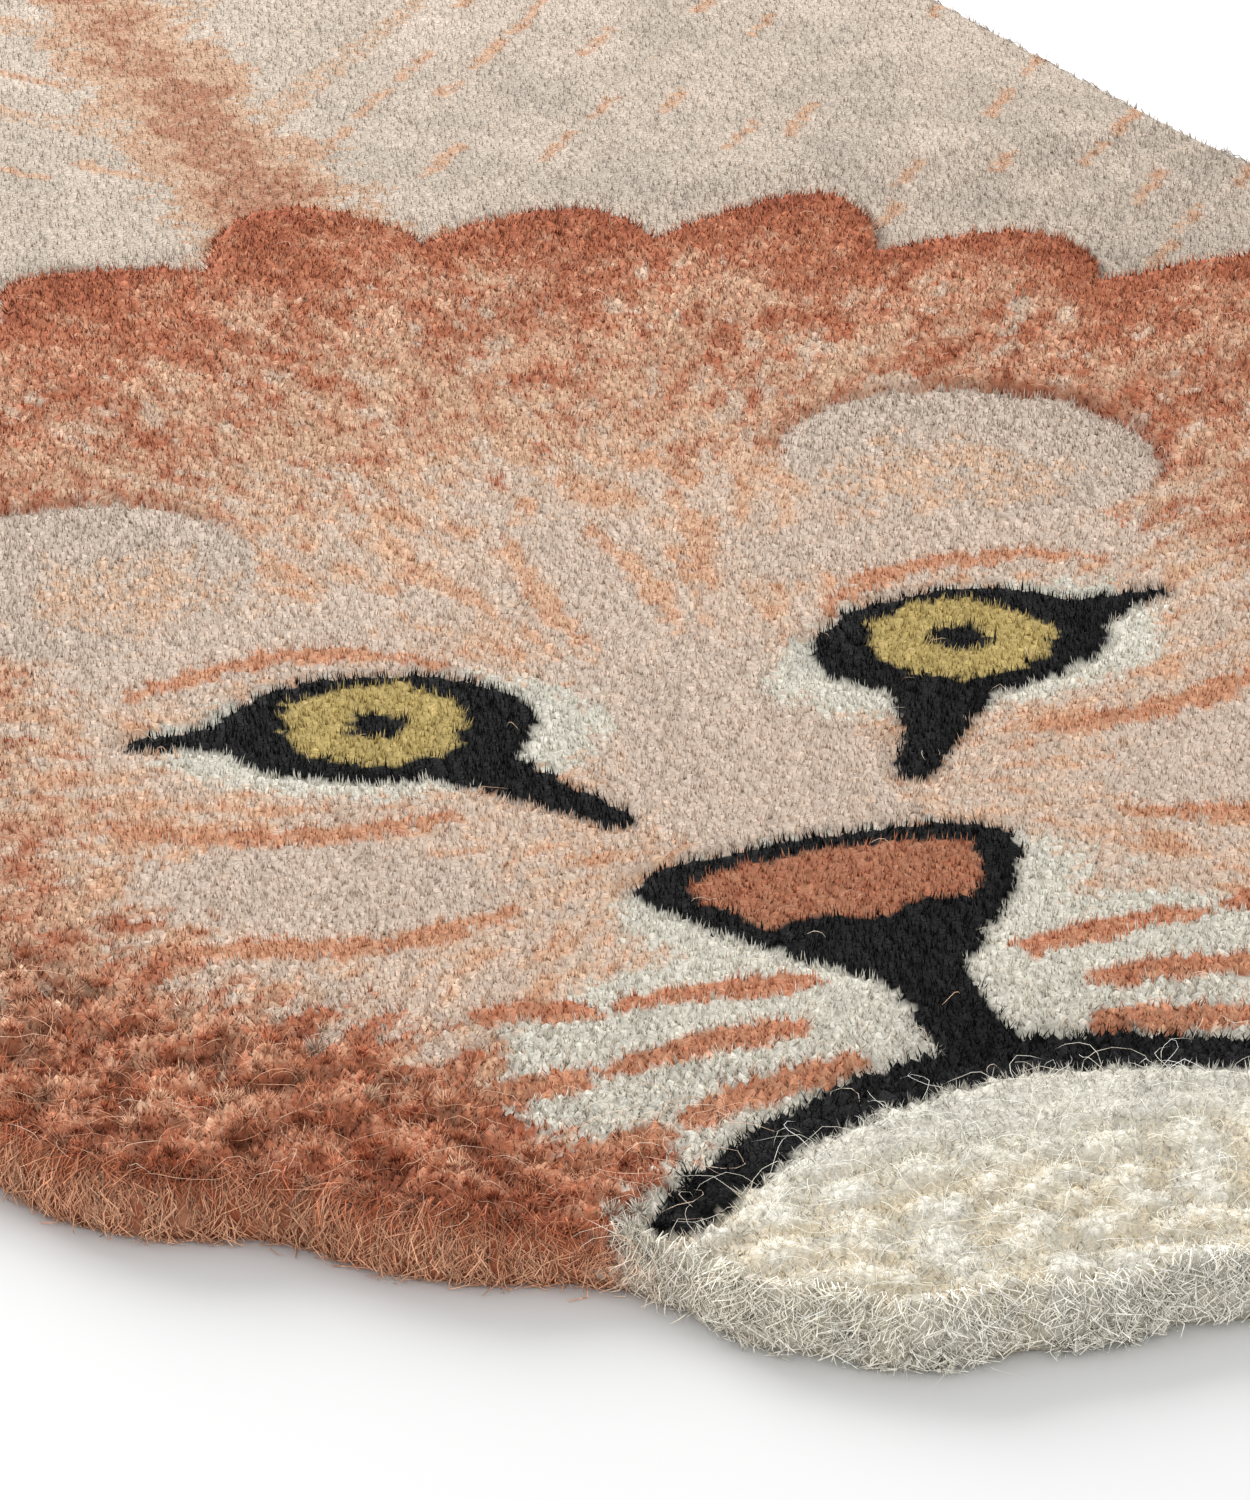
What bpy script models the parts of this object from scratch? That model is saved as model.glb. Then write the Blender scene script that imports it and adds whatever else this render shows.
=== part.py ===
"""Lion shaped kids rug: one flat piece of cut pile on a woven backing, cut out as a lion skin.

Frame: metres, +Z up, origin on the floor under the middle of the rug's box. The chin points to -Y,
the tail to +Y, and the two sides mirror each other in the plane X = 0.

The rug is one solid. Its top follows the pile: short over the body and legs, higher and lumpy over the
mane and the chin, with a carved step round the mane's back edge and round each ear. Its rim is a soft
wall of pile that ends in locks at the mane, chin and tail tuft, and in toes at the paws.
"""
import math

import bpy
import numpy as np
from mathutils import Vector
from mathutils.geometry import delaunay_2d_cdt

MM = 0.001

# Driving sizes, in millimetres.
BODY_TOP = 14.0           # backing and short pile over the body, legs and tail
MANE_RISE = 3.5           # how much higher the mane's pile stands
CHIN_RISE = 2.5           # the same for the chin's longer locks
MUZZLE_RISE = 1.2         # soft mound of the muzzle
LUMP = 0.7                # height of the unevenness in the mane and the chin

MANE_CENTRE_Y = -413.0
MANE_RADIUS = 292.0
MANE_FIELD = 150.0        # the rise starts this far out from the mane's centre and is full at its edge
MANE_ARC_DEG = (29.0, 45.0, 61.0, 77.0, 92.0)   # rim points, turned from the chin's direction
FLAME_PITCH_DEG = 13.0    # one curved lock of the mane's back edge, seen from the mane's centre
FLAME_DEPTHS = (40.0, 25.0)   # long and short locks in turn
FLAME_NOTCH = -14.0       # a notch lies this far inside the mane's radius
FLAME_LEAN = 0.6          # how strongly the tips lean to the sides
MANE_FREE_DEG = (84.0, 93.0)  # from straight back: past this the mane reaches the rug's own rim
MANE_FREE_REACH = 40.0
RIDGE_COUNT = 22          # wavy ridges that run out from the face to the mane's edge
RIDGE_WAVE = 46.0         # length of a ridge's waves

EAR_CENTRE = (121.0, -318.0)
EAR_RADII = (50.0, 44.0)
EAR_TURN_DEG = -38.0
CHIN_CENTRE_Y = -700.0
CHIN_RADII = (105.0, 62.0)
MUZZLE_CENTRE = (48.0, -610.0)
MUZZLE_RADII = (62.0, 48.0)
JAW_CENTRE_Y = -655.0
JAW_RADII = (128.0, 128.0)

RIM_STEP = 9.0            # spacing of the points along the outline
TOP_STEP = 18.0           # spacing of the points inside it
CARVE_HALF_WIDTH = 3.0    # half the run of a carved step
MANE_LOCK = (9.0, 74.0)   # depth and width of the mane's locks along the rim

# Half of the outline, from the chin to the tail tip. The mane's arc is added between its two parts.
# name, X, Y, depth of the locks or toes there, width of one lock or toe
CHIN_OUTLINE = (
    ("chin front", 0.0, -743.0, 5.0, 46.0),
    ("chin round", 46.0, -744.0, 5.0, 46.0),
    ("chin side", 84.0, -727.0, 5.0, 46.0),
    ("mouth corner", 101.0, -697.0, 4.0, 60.0),
)
BODY_OUTLINE = (
    ("foreleg front root", 304.0, -366.0, 3.0, 60.0),
    ("foreleg front", 340.0, -356.0, 0.0, 40.0),
    ("fore wrist front", 376.0, -372.0, 2.0, 36.0),
    ("fore toes inner", 405.0, -402.0, 9.0, 34.0),
    ("fore toes tip", 440.0, -399.0, 9.0, 34.0),
    ("fore toes outer", 461.0, -362.0, 9.0, 34.0),
    ("fore paw heel", 452.0, -317.0, 3.0, 34.0),
    ("fore wrist back", 414.0, -281.0, 0.0, 40.0),
    ("foreleg back", 358.0, -241.0, 0.0, 40.0),
    ("elbow", 307.0, -195.0, 0.0, 40.0),
    ("shoulder", 277.0, -142.0, 0.0, 40.0),
    ("ribs front", 260.0, -72.0, 0.0, 40.0),
    ("ribs", 245.0, 2.0, 0.0, 40.0),
    ("flank", 230.0, 82.0, 0.0, 40.0),
    ("waist", 225.0, 150.0, 0.0, 40.0),
    ("thigh root", 240.0, 212.0, 0.0, 40.0),
    ("thigh front", 281.0, 258.0, 0.0, 40.0),
    ("hind shin front", 337.0, 290.0, 0.0, 40.0),
    ("hind wrist front", 386.0, 310.0, 0.0, 36.0),
    ("hind paw heel", 430.0, 331.0, 3.0, 34.0),
    ("hind toes outer", 460.0, 365.0, 9.0, 34.0),
    ("hind toes tip", 456.0, 409.0, 9.0, 34.0),
    ("hind toes inner", 421.0, 437.0, 9.0, 34.0),
    ("hind wrist back", 376.0, 435.0, 2.0, 36.0),
    ("hind shin back", 326.0, 431.0, 0.0, 40.0),
    ("thigh back", 262.0, 441.0, 0.0, 40.0),
    ("rump side", 190.0, 463.0, 0.0, 40.0),
    ("rump", 115.0, 488.0, 0.0, 40.0),
    ("tail root", 55.0, 512.0, 0.0, 40.0),
    ("tail upper", 30.0, 552.0, 0.0, 40.0),
    ("tail middle", 25.0, 596.0, 0.0, 40.0),
    ("tail lower", 28.0, 631.0, 2.0, 40.0),
    ("tuft root", 51.0, 662.0, 7.0, 34.0),
    ("tuft side", 60.0, 699.0, 7.0, 34.0),
    ("tuft end", 38.0, 734.0, 6.0, 34.0),
    ("tail tip", 0.0, 749.0, 0.0, 34.0),
)

# The rim's rings from the floor up: how far each lies in from the outline, and its share of the height.
RIM_RINGS = ((2.5, 0.0), (0.0, 0.42), (1.6, 0.82), (5.5, 0.97))

PILE_COLOUR = (0.57, 0.46, 0.36, 1.0)


def smooth_step(low, high, value):
    """0 below low, 1 above high, and a smooth S between them."""
    t = np.clip((value - low) / (high - low), 0.0, 1.0)
    return t * t * (3.0 - 2.0 * t)


def mane_arc():
    """The outline's points along the mane, on its circle."""
    turns = np.radians(MANE_ARC_DEG)
    return [("mane", MANE_RADIUS * math.sin(t), MANE_CENTRE_Y - MANE_RADIUS * math.cos(t)) + MANE_LOCK
            for t in turns]


def curve_through(rows, step):
    """A Catmull-Rom curve through rows of (X, Y, lock depth, lock width), at even steps of its length."""
    mirror = np.array((-1.0, 1.0, 1.0, 1.0))
    knots = np.vstack((rows[1] * mirror, rows, rows[-2] * mirror))
    t = np.linspace(0.0, 1.0, 12, endpoint=False)[:, None]
    spans = []
    for a, b, c, d in zip(knots[:-3], knots[1:-2], knots[2:-1], knots[3:]):
        spans.append(0.5 * (2.0 * b + (c - a) * t + (2.0 * a - 5.0 * b + 4.0 * c - d) * t ** 2
                            + (3.0 * b - a - 3.0 * c + d) * t ** 3))
    fine = np.vstack(spans + [rows[-1]])
    along = np.concatenate(([0.0], np.cumsum(np.hypot(*np.diff(fine[:, :2], axis=0).T))))
    count = int(round(along[-1] / step)) + 1
    places = np.linspace(0.0, along[-1], count)
    return np.column_stack([np.interp(places, along, column) for column in fine.T])


def outward_normals(points):
    """Unit normals of the half outline, to the right of its run from chin to tail."""
    ahead = np.gradient(points, axis=0)
    normals = np.column_stack((ahead[:, 1], -ahead[:, 0]))
    normals[0] = (0.0, -1.0)
    normals[-1] = (0.0, 1.0)
    return normals / np.linalg.norm(normals, axis=1)[:, None]


def half_outline():
    """The half outline with its locks and toes: round lobes |sin| of the locks passed, pushed outwards."""
    rows = [row[1:] for row in CHIN_OUTLINE + tuple(mane_arc()) + BODY_OUTLINE]
    points = curve_through(np.array(rows), RIM_STEP)
    locks_passed = np.cumsum(RIM_STEP / points[:, 3])
    lobes = points[:, 2] * (np.abs(np.sin(math.pi * locks_passed)) - 0.55)
    outline = points[:, :2] + outward_normals(points[:, :2]) * lobes[:, None]
    outline[[0, -1], 0] = 0.0
    return outline


def inset(outline, distance):
    """The half outline moved inwards, its two ends kept on the middle line."""
    moved = outline - outward_normals(outline) * distance
    moved[[0, -1], 0] = 0.0
    moved[:, 0] = np.maximum(moved[:, 0], 0.0)
    return moved


def ellipse_distance(x, y, centre, radii, turn_deg=0.0):
    """Distance to an ellipse's rim in millimetres, near enough: below 0 inside it."""
    turn = math.radians(turn_deg)
    dx = x - centre[0]
    dy = y - centre[1]
    u = (dx * math.cos(turn) + dy * math.sin(turn)) / radii[0]
    v = (-dx * math.sin(turn) + dy * math.cos(turn)) / radii[1]
    return (np.hypot(u, v) - 1.0) * min(radii)


def mane_edge_radius(angle):
    """Radius of the mane's back edge: sine lobes that lean to the sides, a long and a short one in turn."""
    turned = np.abs(angle) / math.radians(FLAME_PITCH_DEG) + 0.5
    lean = 1.0 + FLAME_LEAN * np.clip(turned - 1.0, 0.0, 1.0)
    rise = np.sin(math.pi * np.mod(turned, 1.0) ** lean) ** 0.8
    depth = np.where(np.mod(np.floor(turned), 2.0) < 0.5, *FLAME_DEPTHS)
    free = smooth_step(*np.radians(MANE_FREE_DEG), np.abs(angle)) * MANE_FREE_REACH
    return MANE_RADIUS + FLAME_NOTCH + depth * rise + free


def mane_polar(x, y):
    """Angle from straight back and radius, seen from the mane's centre."""
    return np.arctan2(x, y - MANE_CENTRE_Y), np.hypot(x, y - MANE_CENTRE_Y)


def top_height(x, y):
    """Height of the pile over the floor, from the rises of mane, chin and muzzle and their lumps."""
    angle, radius = mane_polar(x, y)
    in_mane = 1.0 - smooth_step(-CARVE_HALF_WIDTH, CARVE_HALF_WIDTH, radius - mane_edge_radius(angle))
    in_mane *= smooth_step(MANE_FIELD, MANE_RADIUS * 0.8, radius)
    ear = ellipse_distance(np.abs(x), y, EAR_CENTRE, EAR_RADII, EAR_TURN_DEG)
    in_mane *= smooth_step(-CARVE_HALF_WIDTH, CARVE_HALF_WIDTH, ear)
    in_mane *= smooth_step(-20.0, 10.0, ellipse_distance(x, y, (0.0, JAW_CENTRE_Y), JAW_RADII))
    in_chin = 1.0 - smooth_step(-18.0, 6.0, ellipse_distance(x, y, (0.0, CHIN_CENTRE_Y), CHIN_RADII))
    muzzle = ellipse_distance(np.abs(x), y, MUZZLE_CENTRE, MUZZLE_RADII)
    in_muzzle = 1.0 - smooth_step(-40.0, 6.0, muzzle)
    ridges = np.sin(RIDGE_COUNT * np.abs(angle) + 1.3 * np.sin(radius / RIDGE_WAVE * 2.0))
    tufts = np.sin(x / 9.0) * np.sin(y / 11.0)
    rise = MANE_RISE * in_mane + CHIN_RISE * in_chin + MUZZLE_RISE * in_muzzle * (1.0 - in_chin)
    return BODY_TOP + rise + LUMP * (ridges * in_mane + tufts * in_chin)


def near(points, others, gap):
    """True for each point that lies nearer than gap to one of the others."""
    apart = points[:, None, :] - others[None, :, :]
    return np.hypot(apart[..., 0], apart[..., 1]).min(axis=1) < gap


def carved_step_points():
    """Pairs of points on both sides of the mane's back edge and of an ear's outer rim."""
    pairs = []
    angles = np.radians(np.arange(2.0, MANE_FREE_DEG[0], 2.0))
    for side in (-1.0, 1.0):
        radius = mane_edge_radius(angles) + side * CARVE_HALF_WIDTH
        pairs.append(np.column_stack((radius * np.sin(angles), MANE_CENTRE_Y + radius * np.cos(angles))))
    turn = math.radians(EAR_TURN_DEG)
    around = np.radians(np.arange(0.0, 200.0, 12.0))
    for side in (-1.0, 1.0):
        u = (EAR_RADII[0] + side * CARVE_HALF_WIDTH) * np.cos(around)
        v = (EAR_RADII[1] + side * CARVE_HALF_WIDTH) * np.sin(around)
        pairs.append(np.column_stack((EAR_CENTRE[0] + u * math.cos(turn) - v * math.sin(turn),
                                      EAR_CENTRE[1] + u * math.sin(turn) + v * math.cos(turn))))
    return np.vstack(pairs)


def field_points(rim, middle):
    """Points inside the half outline: the carved steps first, then staggered rows that keep clear of them."""
    steps = carved_step_points()
    rows = np.arange(rim[:, 1].min(), rim[:, 1].max(), TOP_STEP * 0.87)
    grid = [(column + TOP_STEP * 0.5 * (index % 2), y)
            for index, y in enumerate(rows)
            for column in np.arange(TOP_STEP, rim[:, 0].max(), TOP_STEP)]
    grid = np.array(grid)
    grid = grid[~near(grid, steps, TOP_STEP * 0.55)]
    points = np.vstack((steps, grid))
    keep = ~near(points, rim, TOP_STEP * 0.5) & ~near(points, middle, TOP_STEP * 0.5)
    return points[keep]


def fill(boundary, inner):
    """Triangles inside a closed boundary, through the inner points, as indices into both."""
    coords = [Vector(p) for p in np.vstack((boundary, inner)).tolist()]
    result = delaunay_2d_cdt(coords, [], [list(range(len(boundary)))], 1, 1e-5)
    origins = result[3]
    return [tuple(origins[corner][0] for corner in triangle) for triangle in result[2]]


def half_rug():
    """Vertices and faces of the half at +X: bottom, rim rings and top, facing outwards."""
    outline = half_outline()
    rings = []
    for distance, share in RIM_RINGS:
        ring = inset(outline, distance)
        height = top_height(ring[:, 0], ring[:, 1]) * share
        rings.append(np.column_stack((ring, height)))
    count = len(outline)
    faces = []
    for level in range(len(rings) - 1):
        low = level * count
        for k in range(count - 1):
            a, b, c, d = low + k, low + k + 1, low + count + k + 1, low + count + k
            faces += [(a, b, c), (a, c, d)]

    bottom = rings[0][:, :2]
    faces += [tuple(reversed(face)) for face in fill(bottom, np.empty((0, 2)))]

    rim = rings[-1][:, :2]
    middle_y = np.arange(rim[-1, 1] - TOP_STEP, rim[0, 1] + TOP_STEP * 0.5, -TOP_STEP)
    middle = np.column_stack((np.zeros(len(middle_y)), middle_y))
    inner = field_points(rim, middle)
    boundary = np.vstack((rim, middle))
    first = (len(rings) - 1) * count
    faces += [tuple(first + corner for corner in face) for face in fill(boundary, inner)]

    extra = np.vstack((middle, inner))
    extra = np.column_stack((extra, top_height(extra[:, 0], extra[:, 1])))
    return np.vstack(rings + [extra]), faces


def mirrored(vertices, faces):
    """Both halves as one closed mesh, sharing the vertices on the middle line."""
    on_middle = np.abs(vertices[:, 0]) < 1e-6
    twin = np.where(on_middle, np.arange(len(vertices)), 0)
    twin[~on_middle] = len(vertices) + np.arange(np.count_nonzero(~on_middle))
    other_side = vertices[~on_middle] * np.array((-1.0, 1.0, 1.0))
    other_faces = [tuple(int(twin[corner]) for corner in reversed(face)) for face in faces]
    return np.vstack((vertices, other_side)), faces + other_faces


def pile_material():
    """Wool pile: matt, with the rug's mean colour."""
    material = bpy.data.materials.new("wool_pile")
    material.use_nodes = True
    shader = material.node_tree.nodes["Principled BSDF"]
    shader.inputs["Base Color"].default_value = PILE_COLOUR
    shader.inputs["Roughness"].default_value = 0.95
    shader.inputs["Metallic"].default_value = 0.0
    return material


def make_rug():
    """The rug as one closed solid, lying flat on the floor."""
    vertices, faces = mirrored(*half_rug())
    mesh = bpy.data.meshes.new("rug")
    mesh.from_pydata((vertices * MM).tolist(), [], faces)
    mesh.validate()
    mesh.materials.append(pile_material())
    mesh.shade_smooth()
    mesh.set_sharp_from_angle(angle=math.radians(50.0))
    rug = bpy.data.objects.new("rug", mesh)
    bpy.context.scene.collection.objects.link(rug)
    return rug


def main():
    for old in list(bpy.data.objects):
        bpy.data.objects.remove(old, do_unlink=True)
    make_rug()


main()
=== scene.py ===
"""Lion shaped kids rug: its cut wool pile, fibre by fibre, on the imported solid, with a plain studio stage.

Frame: metres, +Z up, origin on the floor under the middle of the rug. The chin points to -Y, the tail to
+Y, +X is the side of the rug at the right of the picture. Sizes in the tables are in millimetres.

How the rug is made here: a dense ground of wool on a woven base has a bump for each tuft of a jittered grid,
and a dip between three of them. Fibre ends fan out of the tufts, strands run down the wall round the rim,
fluffy heads stand over the front, and loose fibres lie over the pile. The colour of a tuft comes from the
rug's drawing, which is worked out from ellipses, curved strokes and the mane's lobed edge.
"""

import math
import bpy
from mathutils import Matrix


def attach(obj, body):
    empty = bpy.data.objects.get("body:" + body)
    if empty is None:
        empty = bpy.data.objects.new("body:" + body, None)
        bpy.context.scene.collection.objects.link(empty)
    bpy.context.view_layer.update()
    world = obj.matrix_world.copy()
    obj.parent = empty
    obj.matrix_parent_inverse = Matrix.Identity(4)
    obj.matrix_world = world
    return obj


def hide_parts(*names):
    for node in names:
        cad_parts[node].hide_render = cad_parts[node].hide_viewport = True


bl_info = {
    "name": "Lion Rug Pile",
    "version": (1, 0, 0),
    "blender": (4, 5, 0),
    "location": "3D View > Sidebar > Rug",
    "description": "Builds the pile, the rim and the stage of a lion shaped kids rug",
    "category": "Object",
}

import bpy
import numpy as np
from mathutils import Vector
from mathutils.geometry import delaunay_2d_cdt

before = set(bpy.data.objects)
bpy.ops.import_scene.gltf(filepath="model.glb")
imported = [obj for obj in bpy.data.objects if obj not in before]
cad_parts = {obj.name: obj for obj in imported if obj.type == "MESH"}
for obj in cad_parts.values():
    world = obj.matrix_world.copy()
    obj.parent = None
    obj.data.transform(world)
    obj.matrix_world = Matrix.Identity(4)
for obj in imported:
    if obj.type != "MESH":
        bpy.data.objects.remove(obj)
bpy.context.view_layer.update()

MM = 0.001
TRIANGLE_LIMIT = 199000       # of one piece

# ---------------------------------------------------------------- what the picture shows, in millimetres
CAMERA_TURN_DEG = 19.55
CAMERA_TARGET = (-25.0, -460.0, 14.0)
STRIP_HALF = 160.0            # half the picture's width on the floor at its target, with a little more
STRIP_WOBBLE = 9.0            # the strip's edge is that much uneven
STRIP_WIDENING = 0.0707       # over a run of 1 away from the camera
STRIP_END = 545.0             # how far behind the target the strip ends

# ---------------------------------------------------------------- the solid's form, in millimetres
BODY_TOP = 14.0
MANE_RISE = 3.5
CHIN_RISE = 2.5
MUZZLE_RISE = 1.2
LUMP = 0.7
MANE_CENTRE_Y = -413.0
MANE_RADIUS = 292.0
MANE_FIELD = 150.0
MANE_ARC_DEG = (29.0, 45.0, 61.0, 77.0, 92.0)
FLAME_PITCH_DEG = 13.0
FLAME_DEPTHS = (40.0, 25.0)
FLAME_NOTCH = -14.0
FLAME_LEAN = 0.6
MANE_FREE_DEG = (84.0, 93.0)
MANE_FREE_REACH = 40.0
RIDGE_COUNT = 22
RIDGE_WAVE = 46.0
EAR_CENTRE = (121.0, -318.0)
EAR_RADII = (50.0, 44.0)
EAR_TURN_DEG = -38.0
CHIN_CENTRE_Y = -700.0
CHIN_RADII = (105.0, 62.0)
MUZZLE_CENTRE = (48.0, -610.0)
MUZZLE_RADII = (62.0, 48.0)
JAW_CENTRE_Y = -655.0
JAW_RADII = (128.0, 128.0)
CARVE_HALF_WIDTH = 3.0
MANE_LOCK = (9.0, 74.0)

# Half of the outline, from the chin to the tail tip. The mane's arc is added between its two parts.
# name, X, Y, depth of the locks or toes there, width of one lock or toe
CHIN_OUTLINE = (
    ("chin front", 0.0, -743.0, 5.0, 46.0),
    ("chin round", 46.0, -744.0, 5.0, 46.0),
    ("chin side", 84.0, -727.0, 5.0, 46.0),
    ("mouth corner", 101.0, -697.0, 4.0, 60.0),
)
BODY_OUTLINE = (
    ("foreleg front root", 304.0, -366.0, 3.0, 60.0),
    ("foreleg front", 340.0, -356.0, 0.0, 40.0),
    ("fore wrist front", 376.0, -372.0, 2.0, 36.0),
    ("fore toes inner", 405.0, -402.0, 9.0, 34.0),
    ("fore toes tip", 440.0, -399.0, 9.0, 34.0),
    ("fore toes outer", 461.0, -362.0, 9.0, 34.0),
    ("fore paw heel", 452.0, -317.0, 3.0, 34.0),
    ("fore wrist back", 414.0, -281.0, 0.0, 40.0),
    ("foreleg back", 358.0, -241.0, 0.0, 40.0),
    ("elbow", 307.0, -195.0, 0.0, 40.0),
    ("shoulder", 277.0, -142.0, 0.0, 40.0),
    ("ribs front", 260.0, -72.0, 0.0, 40.0),
    ("ribs", 245.0, 2.0, 0.0, 40.0),
    ("flank", 230.0, 82.0, 0.0, 40.0),
    ("waist", 225.0, 150.0, 0.0, 40.0),
    ("thigh root", 240.0, 212.0, 0.0, 40.0),
    ("thigh front", 281.0, 258.0, 0.0, 40.0),
    ("hind shin front", 337.0, 290.0, 0.0, 40.0),
    ("hind wrist front", 386.0, 310.0, 0.0, 36.0),
    ("hind paw heel", 430.0, 331.0, 3.0, 34.0),
    ("hind toes outer", 460.0, 365.0, 9.0, 34.0),
    ("hind toes tip", 456.0, 409.0, 9.0, 34.0),
    ("hind toes inner", 421.0, 437.0, 9.0, 34.0),
    ("hind wrist back", 376.0, 435.0, 2.0, 36.0),
    ("hind shin back", 326.0, 431.0, 0.0, 40.0),
    ("thigh back", 262.0, 441.0, 0.0, 40.0),
    ("rump side", 190.0, 463.0, 0.0, 40.0),
    ("rump", 115.0, 488.0, 0.0, 40.0),
    ("tail root", 55.0, 512.0, 0.0, 40.0),
    ("tail upper", 30.0, 552.0, 0.0, 40.0),
    ("tail middle", 25.0, 596.0, 0.0, 40.0),
    ("tail lower", 28.0, 631.0, 2.0, 40.0),
    ("tuft root", 51.0, 662.0, 7.0, 34.0),
    ("tuft side", 60.0, 699.0, 7.0, 34.0),
    ("tuft end", 38.0, 734.0, 6.0, 34.0),
    ("tail tip", 0.0, 749.0, 0.0, 34.0),
)
OUTLINE_STEP = 9.0            # the solid's outline points, which the rim here runs through

# ---------------------------------------------------------------- the pile, in millimetres
RIM_POINT_STEP = 6.0
RIM_RINGS = ((3.4, 0.0), (1.6, 0.30), (2.0, 0.74), (4.4, 0.98))   # inset, share of the height
RIM_INNER = (7.5, 1.0)        # the strands of the rim start this far in at most
BUNDLE_WIDTH = 3.6            # of the bundles of strands in the wall
# Painted light: the strands of the wall are made paler, against the shade that the wall is in.
WALL_PALENESS = 0.9           # the wall's strands are that much paler than the pile's top
MIDDLE_DROP = 1.0             # a tuft's middle lies this far under the pile's top
GAP_DROP = 1.6                # and the gap between three tufts this far
SHAGGY_GAP_DROP = 1.1         # and this much more between shaggy ones
FAR_DROP = 1.3                # how far the ground lies under the pile's top elsewhere and at the rim
FINE_PITCH = 3.6              # tufts that are further apart than this have flatter clumps
FIBRE_LENGTH = 2.9            # of the cut pile
SHOULDER_FIBRE_LENGTH = 2.4   # of the calmer pile of the shoulders
CHIN_FIBRE = (3.1, 2.4)       # length in the chin, and how much more its fibres lean
FIBRE_RADIUS = (0.17, 0.29)   # of the fibre ends, if a tuft has as many as the next line says
FIBRES_AT_RADIUS = 5.0        # fewer of them are thicker, more of them are thinner
STRAND_RADIUS = (0.12, 0.22)  # of the strands in the wall
HEAD_RADIUS = (0.15, 0.26)    # of the straight fibres in a fluffy head
CURL_RADIUS = (0.07, 0.11)    # and of the curled ones
LOOSE_RADIUS = (0.05, 0.09)   # of the loose fibres
ROOT_DEPTH = 0.35             # the fibre ends start this far under the ground
NAP_LEAN = 0.22               # slow noise leans the fibres that much
WALL_LOWEST = 0.3             # no strand of the wall or loose fibre comes nearer to the floor
RIM_HEAD_SIZE = (3.2, 5.2)    # length of the fibres in a fluffy head at the rim
FRONT_HEAD_SIZE = (3.0, 4.4)  # and in one of the mane's front
RIM_HEAD_FIBRES = 40          # straight fibres of a head at the rim
FRONT_HEAD_FIBRES = 28        # and of one in the mane's front
CURLED_FIBRES = 4             # of every head
FRONT_HEAD_PITCH = 9.0        # of the grid of the heads in the mane's front
FRONT_HEAD_FIELD = ((-320.0, 340.0), (-750.0, -420.0))  # X and Y of that grid
FRONT_HEAD_SHADE = (0.8, 1.4)
LOOSE_LENGTH = (4.0, 9.0)     # of the loose fibres where the pile isn't shaggy
LOOSE_REACH = (470.0, 755.0)
LOOSE_TRIES = 16              # for each loose fibre, of which most are left out
RIM_HEIGHT_IN = 8.0           # the rim's height and shag are read this far in
RIM_COLOUR_IN = 7.0           # and the colour of its strands this far
CAMERA_FACING = 0.25          # the wall faces the camera below this cosine of its way out and the view's
UV_MARGIN = 0.005             # of the square that the UV map fills
FRONT_LUMP = 3.0              # height of the clumps of the mane's front
FRONT_LUMP_SIZE = 1.3         # their width, as a share of the chin's
CHIN_LUMP = 2.6               # height of the heads of the chin's locks
HEAD_HEIGHTS = (0.3, 23.0)    # no fibre of a fluffy head bends lower or higher than this
HEAD_ROUNDNESS = 0.42         # radius of a fluffy head where its fibres start, as a share of its length
CHIN_SHAG_Y = (-662.0, -688.0)          # between these lines the chin turns shaggy
GRID_REACH = (480.0, 765.0)
ROW_STEP = 0.866              # rows of a triangular grid, as a share of its pitch
GAP_PLACES = ((0.5, 0.289), (0.0, 0.577))               # of the two gaps after a tuft, the same
SPOT_JITTER = 0.2             # how far a tuft is moved, the same
GAP_JITTER = 0.12
GAP_SHADE = 0.84              # shade of the gaps between tufts
# Painted shade: the coarse ground away from the picture is darkened to the fine pile's level, which its
# fibres and gaps shade, and more where the pile is shaggy.
FAR_SHADE = 0.94              # shade of the ground away from the picture
FAR_ROUGH_DARKER = 0.28       # and how much darker it is where the pile is shaggy
RIM_SHADE = 0.9               # shade of the ground under the wall's strands
SEEDS = {"tufts": 11, "ground": 5, "pile": 13, "chin": 23, "rim": 31, "fibres": 47}
EVERY_TUFT = slice(None)
BACK_FRONT_Y = -250.0         # the piece with the crown starts behind this line
SHOULDERS_FRONT_Y = -110.0    # and the one with the shoulders behind this one
RIM_HEADS_BACK_Y = -330.0     # fluffy heads stand along the rim in front of this line

# ---------------------------------------------------------------- materials, stage and light, in metres
WOOLS = (
    # key, name, fibre scale, contrast of the fibres, strength of their bump
    ("face", "short_pile_wool", 130.0, 0.06, 0.3),
    ("mane", "mane_wool", 120.0, 0.20, 0.5),
    ("chin", "chin_wool", 90.0, 0.06, 0.3),
    ("rim", "rim_wool", 110.0, 0.22, 0.5),
    ("hair", "loose_fibre", 130.0, 0.1, 0.0),
    ("ground", "ground_wool", 160.0, 0.12, 0.4),
)
WOOL_SURFACE = (0.92, 0.15)   # roughness and specular level
FIBRE_RELIEF = 0.0006
TUFT_RELIEF = (0.25, 0.0015)  # strength and height of the bump's tufts
CLOTH_COLOURS = ((176, 164, 142), (222, 212, 192))      # 8 bit sRGB, between the threads and on them
CLOTH_RELIEF = (0.5, 0.0004)  # strength and height of the threads' bump
THREADS_PER_METRE = 700.0     # of the woven base
FLOOR_SHADE = 0.665
FLOOR_REACH = 8.0             # half the side of the square floor
FLOOR_DROP = 0.0002           # the floor lies that much under the base, so that the two don't coincide
LIGHTS = (
    # name, its power in the panel, place, the point it looks at, width and height
    ("soft_light", "light", (-0.5, 2.0, 1.05), (0.0, -0.46, 0.0), (2.2, 1.8)),
    ("front_light", "front", (-0.7, -2.6, 0.4), (0.0, -0.7, 0.0), (2.6, 0.6)),
)
CAMERA_CLIP = (0.05, 60.0)
SENSOR_WIDTH_MM = 36.0

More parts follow.
